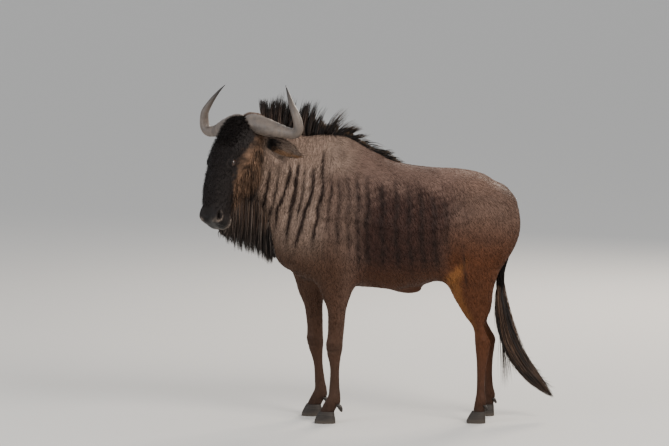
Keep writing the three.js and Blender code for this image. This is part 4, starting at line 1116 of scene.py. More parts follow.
def hair_mesh(name, lines, widths, faces_up, tints, uv):
    """Closed tapered locks. lines: (locks, rings, 3) in millimetres, the last ring closes to a point.
    widths: (locks, rings, 2) half breadth and thickness. faces_up: (locks, 3). tints: (locks, rings, 3)."""
    count, rings = lines.shape[:2]
    sides = len(CORNERS)
    tangent = unit(np.gradient(lines, axis=1))
    across = unit(np.cross(tangent, faces_up[:, None, :]))
    flat = np.cross(across, tangent)
    body = rings - 1
    ring_points = np.stack([
        lines[:, :body] + across[:, :body] * (w * widths[:, :body, 0:1]) + flat[:, :body] * (t * widths[:, :body, 1:2])
        for w, t in CORNERS
    ], 2)  # locks, rings, sides, 3
    points = np.concatenate([ring_points.reshape(count, body * sides, 3), lines[:, -1:]], 1)
    tris = []
    for r in range(body - 1):
        for k in range(sides):
            a, b = r * sides + k, r * sides + (k + 1) % sides
            tris += [(a, b, b + sides), (a, b + sides, a + sides)]
    last = (body - 1) * sides
    tris += [(last + k, last + (k + 1) % sides, body * sides) for k in range(sides)]
    tris += [(0, k + 1, k) for k in range(1, sides - 1)]
    tris = np.array(tris)
    per = body * sides + 1
    # outward: the first side's triangle must face away from the lock's middle
    sample = points[0][tris[0]]
    normal = np.cross(sample[1] - sample[0], sample[2] - sample[0])
    if normal @ (sample.mean(0) - points[0][: sides * 2].mean(0)) < 0:
        tris = tris[:, ::-1]
    all_tris = (tris[None] + (np.arange(count) * per)[:, None, None]).reshape(-1, 3)
    mesh = bpy.data.meshes.new(name)
    mesh.vertices.add(count * per)
    mesh.vertices.foreach_set("co", metres(points.reshape(-1, 3)).astype(np.float32).ravel())
    mesh.loops.add(all_tris.size)
    mesh.loops.foreach_set("vertex_index", all_tris.ravel().astype(np.int32))
    mesh.polygons.add(len(all_tris))
    mesh.polygons.foreach_set("loop_start", np.arange(0, all_tris.size, 3, dtype=np.int32))
    mesh.update(calc_edges=True)
    mesh.shade_smooth()
    colour = np.repeat(tints[:, :body], sides, axis=1)
    colour = np.concatenate([colour, tints[:, -1:]], 1).reshape(-1, 3)
    add_tint(mesh, colour)
    # each lock has a small patch of the square, about its root's place
    step = np.concatenate([np.repeat(np.linspace(-0.5, 0.4, body), sides), [0.5]])
    turn = np.concatenate([np.tile(np.linspace(-0.5, 0.5, sides), body), [0.0]])
    own = np.stack([turn, step], 1) * PATCH
    corner_uv = (uv[:, None] + own[None]).reshape(-1, 2)
    layer = mesh.uv_layers.new(name="OFBake")
    layer.data.foreach_set("uv", corner_uv[all_tris.ravel()].astype(np.float32).ravel())
    return mesh


def add_tint(mesh, colour):
    layer = mesh.attributes.new("Tint", "FLOAT_COLOR", "POINT")
    full = np.concatenate([colour, np.ones((len(colour), 1))], 1)
    layer.data.foreach_set("color", full.astype(np.float32).ravel())


def add_number(mesh, name, values):
    mesh.attributes.new(name, "FLOAT", "POINT").data.foreach_set("value", np.asarray(values, np.float32))


def lie(p, normal):
    """The way the coat lies, in the skin's own plane."""
    x, _, z = p.T
    down = 1 - ramp(z, 1150, 1280)[:, None]
    flow = mix(vec(1, 0, -0.35), vec(0.3, 0, -1), down)
    neck = (1 - ramp(x, -380, -240))[:, None]
    flow = mix(flow, vec(-0.2, 0, -1), neck * ramp(z, 640, 760)[:, None])
    rump = ramp(x, 260, 420)[:, None]
    flow = mix(flow, mix(vec(0.45, 0, -0.95), vec(1, 0, -0.35), ramp(z, 1040, 1170)[:, None]), rump)
    leg = (1 - ramp(z, 620, 760))[:, None]
    flow = mix(flow, vec(0.10, 0, -1.0), leg * (np.abs(x) > 150)[:, None])
    a, u, _ = HEAD_AXES.local(p)
    on = head_share(p)[:, None]
    face = unit(HEAD_AXES.along * 0.9 - HEAD_AXES.up * 0.25)
    jaw = unit(vec(0.25, 0.1, -1.0))
    head = mix(np.broadcast_to(jaw, p.shape), face, ramp(u, 20, 80)[:, None])
    brow = (ramp(-a, -40, 40) * ramp(u, 30, 70))[:, None]
    head = mix(head, -HEAD_AXES.along + 0.8 * HEAD_AXES.up, brow)
    flow = mix(flow, head, on)
    for ear in EARS.values():
        s, b, o = ear.local(p)
        _, half, deep = EAR_ROWS(s).T
        near = (np.hypot(b / half, o / deep) < 1.4) & (s > 0.06) & (s < 1.1)
        flow[near] = ear.axis
    flow = flow - (flow * normal).sum(1, keepdims=True) * normal
    return unit(flow)


def coat_length(p):
    """Length of the short coat in millimetres."""
    x, y, z = p.T
    length = 21 + 7 * (1 - ramp(x, -420, -260)) * ramp(z, 800, 900)
    length = mix(length, 13, 1 - ramp(z, 360, 620))
    length = mix(length, 12, head_share(p))
    sheath = (1 - ramp(z, 650, 665)) * (1 - ramp(np.abs(y), 24, 40)) * (1 - ramp(np.abs(x - 60), 60, 90))
    return mix(length, 6, sheath)


COAT_LIFT = 0.08  # how far a tuft rises off the skin, as a share of its length


def short_coat(name, p, normal, rng, colours):
    """Short tufts that lie along the skin, in its own colours, with painted shade at their roots and painted light at
    their tips.
    """
    flow = lie(p, normal)
    turn = rng.normal(0, 0.1, len(p))[:, None]
    flow = unit(flow + np.cross(normal, flow) * turn)
    length = (coat_length(p) * rng.uniform(0.75, 1.25, len(p)))[:, None]
    width = np.minimum(length * 0.2, 4.2) * rng.uniform(0.75, 1.15, (len(p), 1))
    rise = COAT_LIFT * rng.uniform(0.55, 1.45, (len(p), 1))
    s = np.array([0, 0.5, 1.0])
    lines = (
        p[:, None] - normal[:, None] * 0.9
        + flow[:, None] * (length * s)[..., None]
        + normal[:, None] * (length * (rise * s * 1.6 - rise * 0.75 * s * s))[..., None]
    )
    widths = np.stack([width * (1 - 0.4 * s), 0.32 * width * (1 - 0.4 * s)], 2) / 2
    base = markings(p, colours)
    shade = rng.uniform(0.86, 1.16, (len(p), 1))
    # painted shade and light: each tuft is darker at its root, where the tufts shade one another, and lighter at its
    # tip
    root_shade_tip_light = np.array([0.75, 1.0, 1.08])
    tints = np.clip(base[:, None] * shade[:, None] * root_shade_tip_light[None, :, None], 0, 1)
    return hair_mesh(name, lines, widths, normal, tints, Chart.places(p))


def long_locks(name, root, tip, bow, face, width, tints, rings=6, thick=0.5, power=1.5):
    """Bending tapered locks from root to tip. tints: (locks, stops, 3), evenly from the root to the tip."""
    s = np.linspace(0, 1, rings)
    lines = (
        root[:, None] + (tip - root)[:, None] * s[None, :, None]
        + bow[:, None] * (4 * s * (1 - s))[None, :, None]
    )
    taper = np.maximum(1 - s**power, 0)[None, :, None]
    w = width[:, None, None] / 2 * taper
    widths = np.concatenate([w, w * thick], 2)
    at = s * (tints.shape[1] - 1)
    low = np.minimum(at.astype(int), tints.shape[1] - 2)
    shades = mix(tints[:, low], tints[:, low + 1], (at - low)[None, :, None])
    return hair_mesh(name, lines, widths, face, shades, Chart.places(root))


def gathered(tip, clump, share):
    """Tips drawn towards the middle of their own clump, which makes a lock of many strands."""
    count = clump.max() + 1
    size = np.maximum(np.bincount(clump, minlength=count), 1)[:, None]
    middle = np.stack([np.bincount(clump, tip[:, k], count) for k in range(3)], 1) / size
    return mix(tip, middle[clump], np.asarray(share)[..., None])


# Settings


def colour_property(name, description, screen):
    return FloatVectorProperty(
        name=name, description=description, subtype="COLOR", size=3, min=0, max=1,
        default=tuple(float(v) for v in rgb(*screen)),
    )


class BullSettings(bpy.types.PropertyGroup):
    """Sizes and colours of the bull."""

    coat_depth: FloatProperty(
        name="Coat depth", description="How far the skin lies inside the solids",
        default=0.004, min=0, max=0.02, unit="LENGTH",
    )
    body_mesh: FloatProperty(
        name="Body mesh", description="Size of the skin's quads on the body",
        default=0.0105, min=0.004, max=0.03, unit="LENGTH",
    )
    head_mesh: FloatProperty(
        name="Head mesh", description="Size of the skin's quads on the head",
        default=0.0046, min=0.002, max=0.01, unit="LENGTH",
    )
    mane_width: FloatProperty(
        name="Mane lock", description="Width of one lock of the mane",
        default=0.006, min=0.002, max=0.05, unit="LENGTH",
    )
    back: colour_property("Back", "Coat on the back", (103, 81, 71))
    flank: colour_property("Flank", "Coat on the ribs", (56, 36, 30))
    neck: colour_property("Neck", "Coat on the neck", (130, 109, 96))
    shoulder: colour_property("Shoulder", "Coat on the shoulder", (97, 77, 67))
    belly: colour_property("Belly", "Coat under the belly", (82, 51, 34))
    rump: colour_property("Rump", "Coat on the rump", (97, 75, 64))
    foreleg: colour_property("Foreleg", "Coat on the forelegs", (71, 47, 33))
    hindleg: colour_property("Hind leg", "Coat on the hind legs", (82, 47, 27))
    # the inner thigh's own tan, also painted down the front edge of the hind legs as rim light
    inner: colour_property("Inner thigh", "Coat inside the hind legs", (146, 96, 50))
    shin: colour_property("Shin", "Coat above the hooves", (56, 40, 32))
    stripe: colour_property("Stripe", "Brindle stripes", (36, 24, 20))
    hair: colour_property("Long hair", "Mane, beard and tail", (22, 17, 15))
    face: colour_property("Face", "Mask of the face", (31, 26, 25))
    cheek: colour_property("Cheek", "Cheek behind the mask", (96, 73, 57))
    nose: colour_property("Nose", "Bare skin of the nose", (17, 14, 14))
    # the lips' own pale rim, also painted as a highlight round the wings of the nostrils
    lip: colour_property("Lip", "Pale rim of the lips", (132, 118, 108))
    ear: colour_property("Ear", "Back of the ears", (118, 100, 88))
    # painted light: the tan of the lit lower side of each ear's cup
    ear_cup_light: colour_property("Inner ear", "Cup of the ears", (124, 92, 66))
    horn: colour_property("Horn", "Horns at their bases", (83, 74, 68))
    horn_tip: colour_property("Horn tip", "Points of the horns", (30, 26, 24))


COLOUR_NAMES = [
    "back", "flank", "neck", "shoulder", "belly", "rump", "foreleg", "hindleg", "inner", "shin", "stripe",
    "hair", "face", "cheek", "nose", "lip", "ear", "ear_cup_light",
]
# locks in each piece of long hair
FORELOCK_LOCKS, BRUSH_LOCKS, CHEEK_LOCKS = 2200, 3600, 2400
MANE_LOCKS, BEARD_LOCKS = 2700, 3000
TAIL_COAT_LOCKS, TAIL_LOCKS, TAIL_WISPS = 3600, 3400, 150
# square millimetres of skin for one tuft on the body, and on head and legs
BODY_TUFT, FINE_TUFT = 50.0, 26.0
TUFT_TRIANGLES, MOST_TRIANGLES = 10, 190000
# the coat's pieces: legs below a height, neck ahead of a place, then each flank
COAT_LEGS_BELOW, COAT_NECK_AHEAD = 660, -250
CLUMPS = 200


def maker_colours(settings):
    return {name: np.array(getattr(settings, name)) for name in COLOUR_NAMES}


FINE_BELOW = 0.52  # metres: the legs' quads are split once below this
SOLE = 16  # the skin ends inside the hooves at this height
END_ROUNDS = 24
SKIN_DATA = {}  # middle, normal and area of each of the skin's faces, for the hair to grow from
FLESH_NODES = ["torso", "neck", "head", "ear_left", "ear_right"] + [
    f"{leg}_{half}" for leg in LEGS for half in ("upper", "lower")
]


class BULL_OT_skin(bpy.types.Operator):
    """One seamless skin over trunk, neck, head, ears and legs"""

    bl_idname = "bull.skin"
    bl_label = "Skin"

    def execute(self, context):
        settings = context.scene.bull
        bm = joined_skin(settings.body_mesh, settings.head_mesh)
        spots = [(eye[0], 42) for eye in EYES.values()]
        spots += [(HEAD_AXES.place(402, 46, s * 56), 32) for s in (1, -1)]
        spots += [(HEAD_AXES.place(400, -32, v), 22) for v in (-52, -26, 0, 26, 52)]
        spots = [(Vector(metres(c)), r / 1000) for c, r in spots]
        finer(bm, lambda at: at.z < FINE_BELOW or any((at - c).length < r for c, r in spots))
        bmesh.ops.recalc_face_normals(bm, faces=bm.faces)
        mesh = mesh_from(bm, "skin")
        p = settled(places(mesh), flesh, 2)
        # the trunk's end turns over without a shelf
        end = ramp(p[:, 0], 420, 465) * (1 - ramp(p[:, 0], 520, 560)) * ramp(p[:, 2], 960, 1040)
        p = mix(p, relaxed(p, edges_of(mesh), END_ROUNDS), end[:, None])
        _, g = slope(flesh, p)
        normal = unit(g)
        head = head_share(p)
        depth = settings.coat_depth * 1000 * mix(1.0, 0.5, np.maximum(head, 1 - ramp(p[:, 2], 400, 600)))
        ear_near = np.min([np.abs(e.field(p)) for e in EARS.values()], 0) < 3
        depth[ear_near] = 0
        out = body_detail(p) * (1 - head) + head_detail(p) * head * ~ear_near - depth
        p = with_eyes(p + normal * out[:, None])
        p[:, 2] = np.where(p[:, 2] < SOLE, SOLE + 0.05 * (p[:, 2] - SOLE), p[:, 2])
        set_places(mesh, p)
        mesh.shade_smooth()
        if len(mesh.vertices) == 0:
            raise RuntimeError("the skin came out empty")
        add_tint(mesh, markings(p, maker_colours(settings)))
        a, u, _ = HEAD_AXES.local(p)
        bare = ramp(a, 398, 424) * head * ramp(u, -40, -20)
        for centre, _, along, up in EYES.values():
            d = p - centre
            bare = np.maximum(bare, 1 - ramp(np.hypot(d @ along * 0.8, d @ up), 13, 17))
        add_number(mesh, "Bare", bare)
        faces = mesh.polygons
        SKIN_DATA.update(
            p=drawn(column(faces, "center", 3)), normal=column(faces, "normal", 3).astype(float),
            area=column(faces, "area") * 1e6,
        )
        finished(linked("skin", mesh), skin_finish(), "coat", *FLESH_NODES)
        return {"FINISHED"}


class BULL_OT_coat(bpy.types.Operator):
    """Short tufts over the skin, along the lie of the coat"""

    bl_idname = "bull.coat"
    bl_label = "Coat"

    def execute(self, context):
        colours = maker_colours(context.scene.bull)
        rng = np.random.default_rng(SEED)
        material = coat_finish("coat_hair", 0.68)
        p, normal, area = SKIN_DATA["p"], SKIN_DATA["normal"], SKIN_DATA["area"]
        head = head_share(p)
        a, u, _ = HEAD_AXES.local(p)
        bare = (head > 0.5) & (a > 372) & (u > -36)
        for centre, _, along, up in EYES.values():
            d = p - centre
            bare |= np.hypot(d @ along * 0.75, d @ up) < 17
        each = mix(BODY_TUFT, FINE_TUFT, np.maximum(head, 1 - ramp(p[:, 2], 420, 640)))
        wanted = area / each
        wanted[bare] = 0
        number = np.floor(wanted + rng.uniform(0, 1, len(p))).astype(int)
        index = np.repeat(np.arange(len(p)), number)
        spread = np.sqrt(area[index])[:, None] * 0.5
        normal = unit(normal[index])
        jitter = rng.uniform(-1, 1, (len(index), 3)) * spread
        jitter -= (jitter * normal).sum(1, keepdims=True) * normal
        roots = p[index] + jitter
        x, y, z = roots.T
        on_head = head[index] > 0.5
        flank = np.where(y < 0, 3, 4)
        group = np.where(z < COAT_LEGS_BELOW, 1, np.where(x < COAT_NECK_AHEAD, 2, flank))
        group = np.where(on_head, 0, group)
        for i, name in enumerate(("coat_head", "coat_legs", "coat_neck", "coat_left", "coat_right")):
            own = np.flatnonzero(group == i)
            shares = max(1, math.ceil(len(own) * TUFT_TRIANGLES / MOST_TRIANGLES))
            for k, part in enumerate(np.array_split(own, shares)):
                mesh = short_coat(f"{name}_{k}", roots[part], normal[part], rng, colours)
                finished(linked(f"{name}_{k}", mesh), material, "coat")
        return {"FINISHED"}


def face_roots(rng, count, weight):
    """Random places on the skin of the head, by weight."""
    p, area = SKIN_DATA["p"], SKIN_DATA["area"]
    w = area * weight * (head_share(p) > 0.5)
    index = rng.choice(len(p), count, p=w / w.sum())
    spread = np.sqrt(area[index])[:, None] * 0.5
    return p[index] + rng.uniform(-1, 1, (count, 3)) * spread, unit(SKIN_DATA["normal"][index])


class BULL_OT_face_hair(bpy.types.Operator):
    """Bushy forelock, the brush along the nose and the hanging hair of the cheeks"""

    bl_idname = "bull.face_hair"
    bl_label = "Face hair"

    def execute(self, context):
        colours = maker_colours(context.scene.bull)
        rng = np.random.default_rng(SEED + 6)
        a, u, v = HEAD_AXES.local(SKIN_DATA["p"])
        along, up, side = HEAD_AXES.along, HEAD_AXES.up, HEAD_AXES.side

        # forelock
        weight = ramp(-a, -96, -50) * ramp(u, 30, 60) * (1 - ramp(np.abs(v), 56, 80))
        root, normal = face_roots(rng, FORELOCK_LOCKS, weight)
        a_, _, v_ = HEAD_AXES.local(root)
        length = mix(14, 23, ramp(-a_, -70, -10)) * rng.uniform(0.6, 1.1, len(root))
        way = normal * 0.5 + up * 0.3 + along * 0.4 + side * (v_ / 110)[:, None]
        way = unit(way + rng.normal(0, 0.2, (len(root), 3)))
        tip = root + way * length[:, None]
        clump = ((a_ + 200) // 17).astype(int) * 16 + ((v_ + 100) // 17).astype(int)
        tip = gathered(tip, clump, rng.uniform(0.2, 0.6, len(root)))
        bow = normal * rng.uniform(0, 4, (len(root), 1))
        shade = colours["hair"] * rng.uniform(0.9, 2.6, (len(root), 1))
        mesh = long_locks("forelock", root - normal * 4, tip, bow, unit(np.cross(side, way)),
                          rng.uniform(2, 4, len(root)), np.stack([shade, shade], 1), rings=4)
        material = coat_finish("face_hair", 0.6, 0.2)
        finished(linked("forelock", mesh), material, "hair")

        # brush
        weight = ramp(a, -80, -30) * (1 - ramp(a, 350, 380)) * ramp(u - mask_edge(a), 2, 16)
        weight = weight * (0.45 + 0.55 * ramp(u, 70, 105)) * (1 - 0.4 * ramp(np.abs(v), 20, 55))
        for centre, *_ in EYES.values():
            weight = weight * ramp(np.linalg.norm(SKIN_DATA["p"] - centre, axis=1), 26, 34)
        root, normal = face_roots(rng, BRUSH_LOCKS, weight)
        a_, u_, _ = HEAD_AXES.local(root)
        ridge = ramp(u_, 60, 110)
        length = mix(18, 11, ramp(a_, 60, 330)) * rng.uniform(0.6, 1.15, len(root)) * mix(0.8, 1, ridge)
        way = along * 0.85 + normal * mix(0.25, 0.55, ridge)[:, None]
        way = unit(way + rng.normal(0, 0.14, (len(root), 3)))
        shade = colours["face"] * rng.uniform(0.7, 1.7, (len(root), 1))
        mesh = long_locks("brush", root - normal * 2, root + way * length[:, None], normal * 1.5, normal,
                          rng.uniform(1.8, 3.2, len(root)), np.stack([shade, shade * 1.1], 1), rings=4)
        finished(linked("brush", mesh), material, "hair")

        # cheeks
        weight = ramp(np.abs(v), 22, 40) * (1 - ramp(u - 0.1 * a, -34, 12))
        weight = weight * ramp(a, -110, -60) * (1 - ramp(a, 250, 310))
        root, normal = face_roots(rng, CHEEK_LOCKS, weight)
        a_, u_, v_ = HEAD_AXES.local(root)
        length = mix(34, 105, ramp(-u_ + 0.1 * a_, 10, 80)) * rng.uniform(0.6, 1.15, len(root))
        way = unit(normal * 0.16 + vec(-0.08, 0, -1) + along * 0.15 + rng.normal(0, 0.06, (len(root), 3)))
        way -= (way * normal).sum(1, keepdims=True).clip(-9, 0) * normal
        tip = root + unit(way) * length[:, None]
        clump = ((root[:, 0] + 1200) // 15).astype(int) * 60 + ((root[:, 2] - 800) // 26).astype(int) * 2 + (v_ > 0)
        tip = gathered(tip, clump, rng.uniform(0.1, 0.5, len(root)))
        base = markings(root, colours) * rng.uniform(0.5, 1.75, (len(root), 1))
        dark = ramp(1050 - root[:, 2] + rng.normal(0, 45, len(root)), 0, 110)[:, None]
        end = mix(base, colours["hair"] * 1.2, np.clip(dark + rng.uniform(-0.3, 0.4, dark.shape), 0, 1))
        mesh = long_locks("cheek_hair", root - normal * 2, tip, normal * 3, normal,
                          rng.uniform(3, 5.5, len(root)), np.stack([base, mix(base, end, 0.5), end], 1), rings=5)
        finished(linked("cheek_hair", mesh), material, "hair")
        return {"FINISHED"}


MANE = Rows([
    [-668, -80, 112, -8], [-640, -70, 150, -5], [-590, -54, 176, -1], [-530, -33, 190, 3],
    [-460, -16, 192, 9], [-400, -6, 184, 18], [-350, 0, 160, 35], [-300, 0, 142, 60],
    [-240, 0, 128, 82], [-170, 0, 114, 93], [-100, 0, 98, 98], [-30, 0, 70, 101],
])
MANE_FROM, MANE_TO = -668, -30


class BULL_OT_mane(bpy.types.Operator):
    """Upright mane from poll to withers, laid back behind them"""

    bl_idname = "bull.mane"
    bl_label = "Mane"

    def execute(self, context):
        settings = context.scene.bull
        rng = np.random.default_rng(SEED + 1)
        count = MANE_LOCKS
        x = mix(MANE_FROM, MANE_TO, rng.uniform(0, 1, count) ** 1.3)
        _, y, length, lean = MANE(x).T
        aside = rng.normal(0, 0.5, count).clip(-1, 1) * 15
        root = skin_ray(np.stack([x, y + aside, np.full(count, 1180.0)], 1), Z, 320)
        edges = MANE_FROM + np.cumsum(rng.uniform(11, 27, 60))
        clump = np.searchsorted(edges, x) * 3 + ((aside + 16) // 11).astype(int)
        sway = rng.normal(0, 1, (CLUMPS, 3))[clump]
        rear = ramp(x, -470, -350)
        tall = rng.uniform(0, 1, count) ** mix(1.3, 0.6, rear)  # 0 is a full length strand
        kept = rng.uniform(0, 1, CLUMPS)[clump] < mix(0.72, 0.42, rear)
        long = length * np.where(kept, 1.02, mix(0.7, 0.34, rear))
        a = np.radians(lean + rng.normal(0, 3.5, count) + mix(4.0, 6.0, rear) * sway[:, 0])
        long = long * (1 + mix(0.07, 0.1, rear) * sway[:, 1]) * (1.02 - mix(0.55, 0.62, rear) * tall)
        out = aside / 16 * 0.14 + rng.normal(0, 0.05, count) + 0.04 * sway[:, 2]
        direction = unit(np.stack([np.sin(a), out, np.cos(a)], 1))
        back = np.stack([np.cos(a), np.zeros(count), -np.sin(a)], 1)
        tip = root + direction * long[:, None] + back * (rng.uniform(0.02, 0.14, count) * long)[:, None]
        tip = gathered(tip, clump, mix(0.55, 0.4, rear) * rng.uniform(0.5, 1.6, count) * (1 - 0.5 * tall))
        bow = -back * (long * rng.uniform(0.02, mix(0.07, 0.16, rear)))[:, None]
        bow = bow + Y * rng.normal(0, 3, count)[:, None]
        face = unit(np.stack([rng.normal(0, 0.5, count), np.ones(count), rng.normal(0, 0.2, count)], 1))
        colours = maker_colours(settings)
        dark = colours["hair"] * rng.uniform(0.7, 2.1, (count, 1))
        grey = (rng.uniform(0, 1, count) < 0.4 * (1 - 0.7 * rear))[:, None]
        base = np.where(grey, colours["neck"] * rng.uniform(0.4, 0.85, (count, 1)), dark)
        middle = np.where(grey, colours["shoulder"] * rng.uniform(0.25, 0.8, (count, 1)), dark)
        tan = (rng.uniform(0, 1, count) < 0.45 * rear)[:, None]
        end = np.where(tan, rgb(128, 100, 72) * rng.uniform(0.5, 1.2, (count, 1)), dark)
        width = settings.mane_width * 1000 * mix(0.95, 0.62, rear) * rng.uniform(0.6, 1.25, count)
        mesh = long_locks("mane", root - Z * 14, tip, bow, face, width, np.stack([base, middle, end], 1), rings=7)
        finished(linked("mane", mesh), coat_finish("long_hair", 0.5, 0.3), "hair")
        return {"FINISHED"}


BEARD = Rows([
    [-104, 1050, 826, 30], [-78, 1100, 766, 36], [-42, 1180, 790, 42], [0, 1240, 814, 46],
    [60, 1270, 832, 46], [120, 1220, 852, 42], [180, 1140, 884, 32], [228, 1060, 920, 20],
])
BEARD_AT = (HEAD_AT - 78 * HEAD_LEVEL) * vec(1, 1, 0)
BEARD_FROM, BEARD_TO = -102, 230


class BULL_OT_beard(bpy.types.Operator):
    """Long hanging hair under jaw and throat"""

    bl_idname = "bull.beard"
    bl_label = "Beard"

    def execute(self, context):
        colours = maker_colours(context.scene.bull)
        rng = np.random.default_rng(SEED + 2)
        count = BEARD_LOCKS
        ahead = rng.uniform(BEARD_FROM, BEARD_TO, count)
        aside = rng.uniform(-1, 1, count)
        _, height, low, spread = BEARD(ahead).T
        level = np.where((ahead > 0)[:, None], HEAD_LEVEL, NECK_LEVEL)
        left = np.where((ahead > 0)[:, None], HEAD_LEFT, NECK_LEFT)
        inside = BEARD_AT + level * ahead[:, None] + left * (aside * spread)[:, None]
        inside[:, 2] = height
        root = skin_ray(inside, -Z, 420)
        clump = ((ahead + 110) // 15).astype(int) * 5 + ((aside + 1) * 2.49).astype(int)
        sway = rng.normal(0, 1, (CLUMPS, 3))[clump]
        lift = np.abs(aside) * 22 + rng.uniform(0, 1, count) ** 2.2 * 130 + 13 * sway[:, 0]
        end = root - left * (aside * 26)[:, None] + left * (5 * sway[:, 2])[:, None]
        end = end + HEAD_LEVEL * (-8 + rng.normal(0, 7, count) + 8 * sway[:, 1])[:, None]
        end[:, 2] = np.minimum(low + np.maximum(lift, 0), root[:, 2] - 24)
        sides_only = gathered(end, clump, rng.uniform(0.2, 0.75, count))
        end[:, :2] = sides_only[:, :2]
        bow = left * (aside * 8)[:, None] + HEAD_LEVEL * rng.normal(0, 6, count)[:, None]
        face = unit(left + HEAD_LEVEL * rng.normal(0, 0.6, count)[:, None])
        brown = rng.uniform(0, 1, count) ** 0.5
        grey = (rng.uniform(0, 1, count) < 0.24)[:, None]
        black = np.where(grey, rgb(92, 82, 76), colours["hair"] * 1.4) * rng.uniform(0.5, 1.6, (count, 1))
        warm = mix(colours["cheek"], colours["stripe"], rng.uniform(0, 1, (count, 1)))
        warm = warm * rng.uniform(0.6, 1.5, (count, 1))
        stops = []
        for k in np.linspace(0, 1, 5):
            z = mix(root[:, 2], end[:, 2], k)
            stops.append(mix(black, warm, (brown * ramp(z, 890, 1030))[:, None]))
        width = rng.uniform(4, 8.5, count)
        mesh = long_locks("beard", root + Z * 12, end, bow, face, width, np.stack(stops, 1), rings=7)
        finished(linked("beard", mesh), coat_finish("beard_hair", 0.52, 0.3), "hair")
        return {"FINISHED"}


def tail_point(s):
    r = TAIL(s)
    return np.stack([r[..., 1], np.zeros(r.shape[:-1]), r[..., 2]], -1)


def tail_up(s):
    tangent = unit(tail_point(np.minimum(s + 0.01, 1)) - tail_point(np.maximum(s - 0.01, 0)))
    return np.cross(-Y, tangent), tangent


TAIL_DOCK_END = 0.62


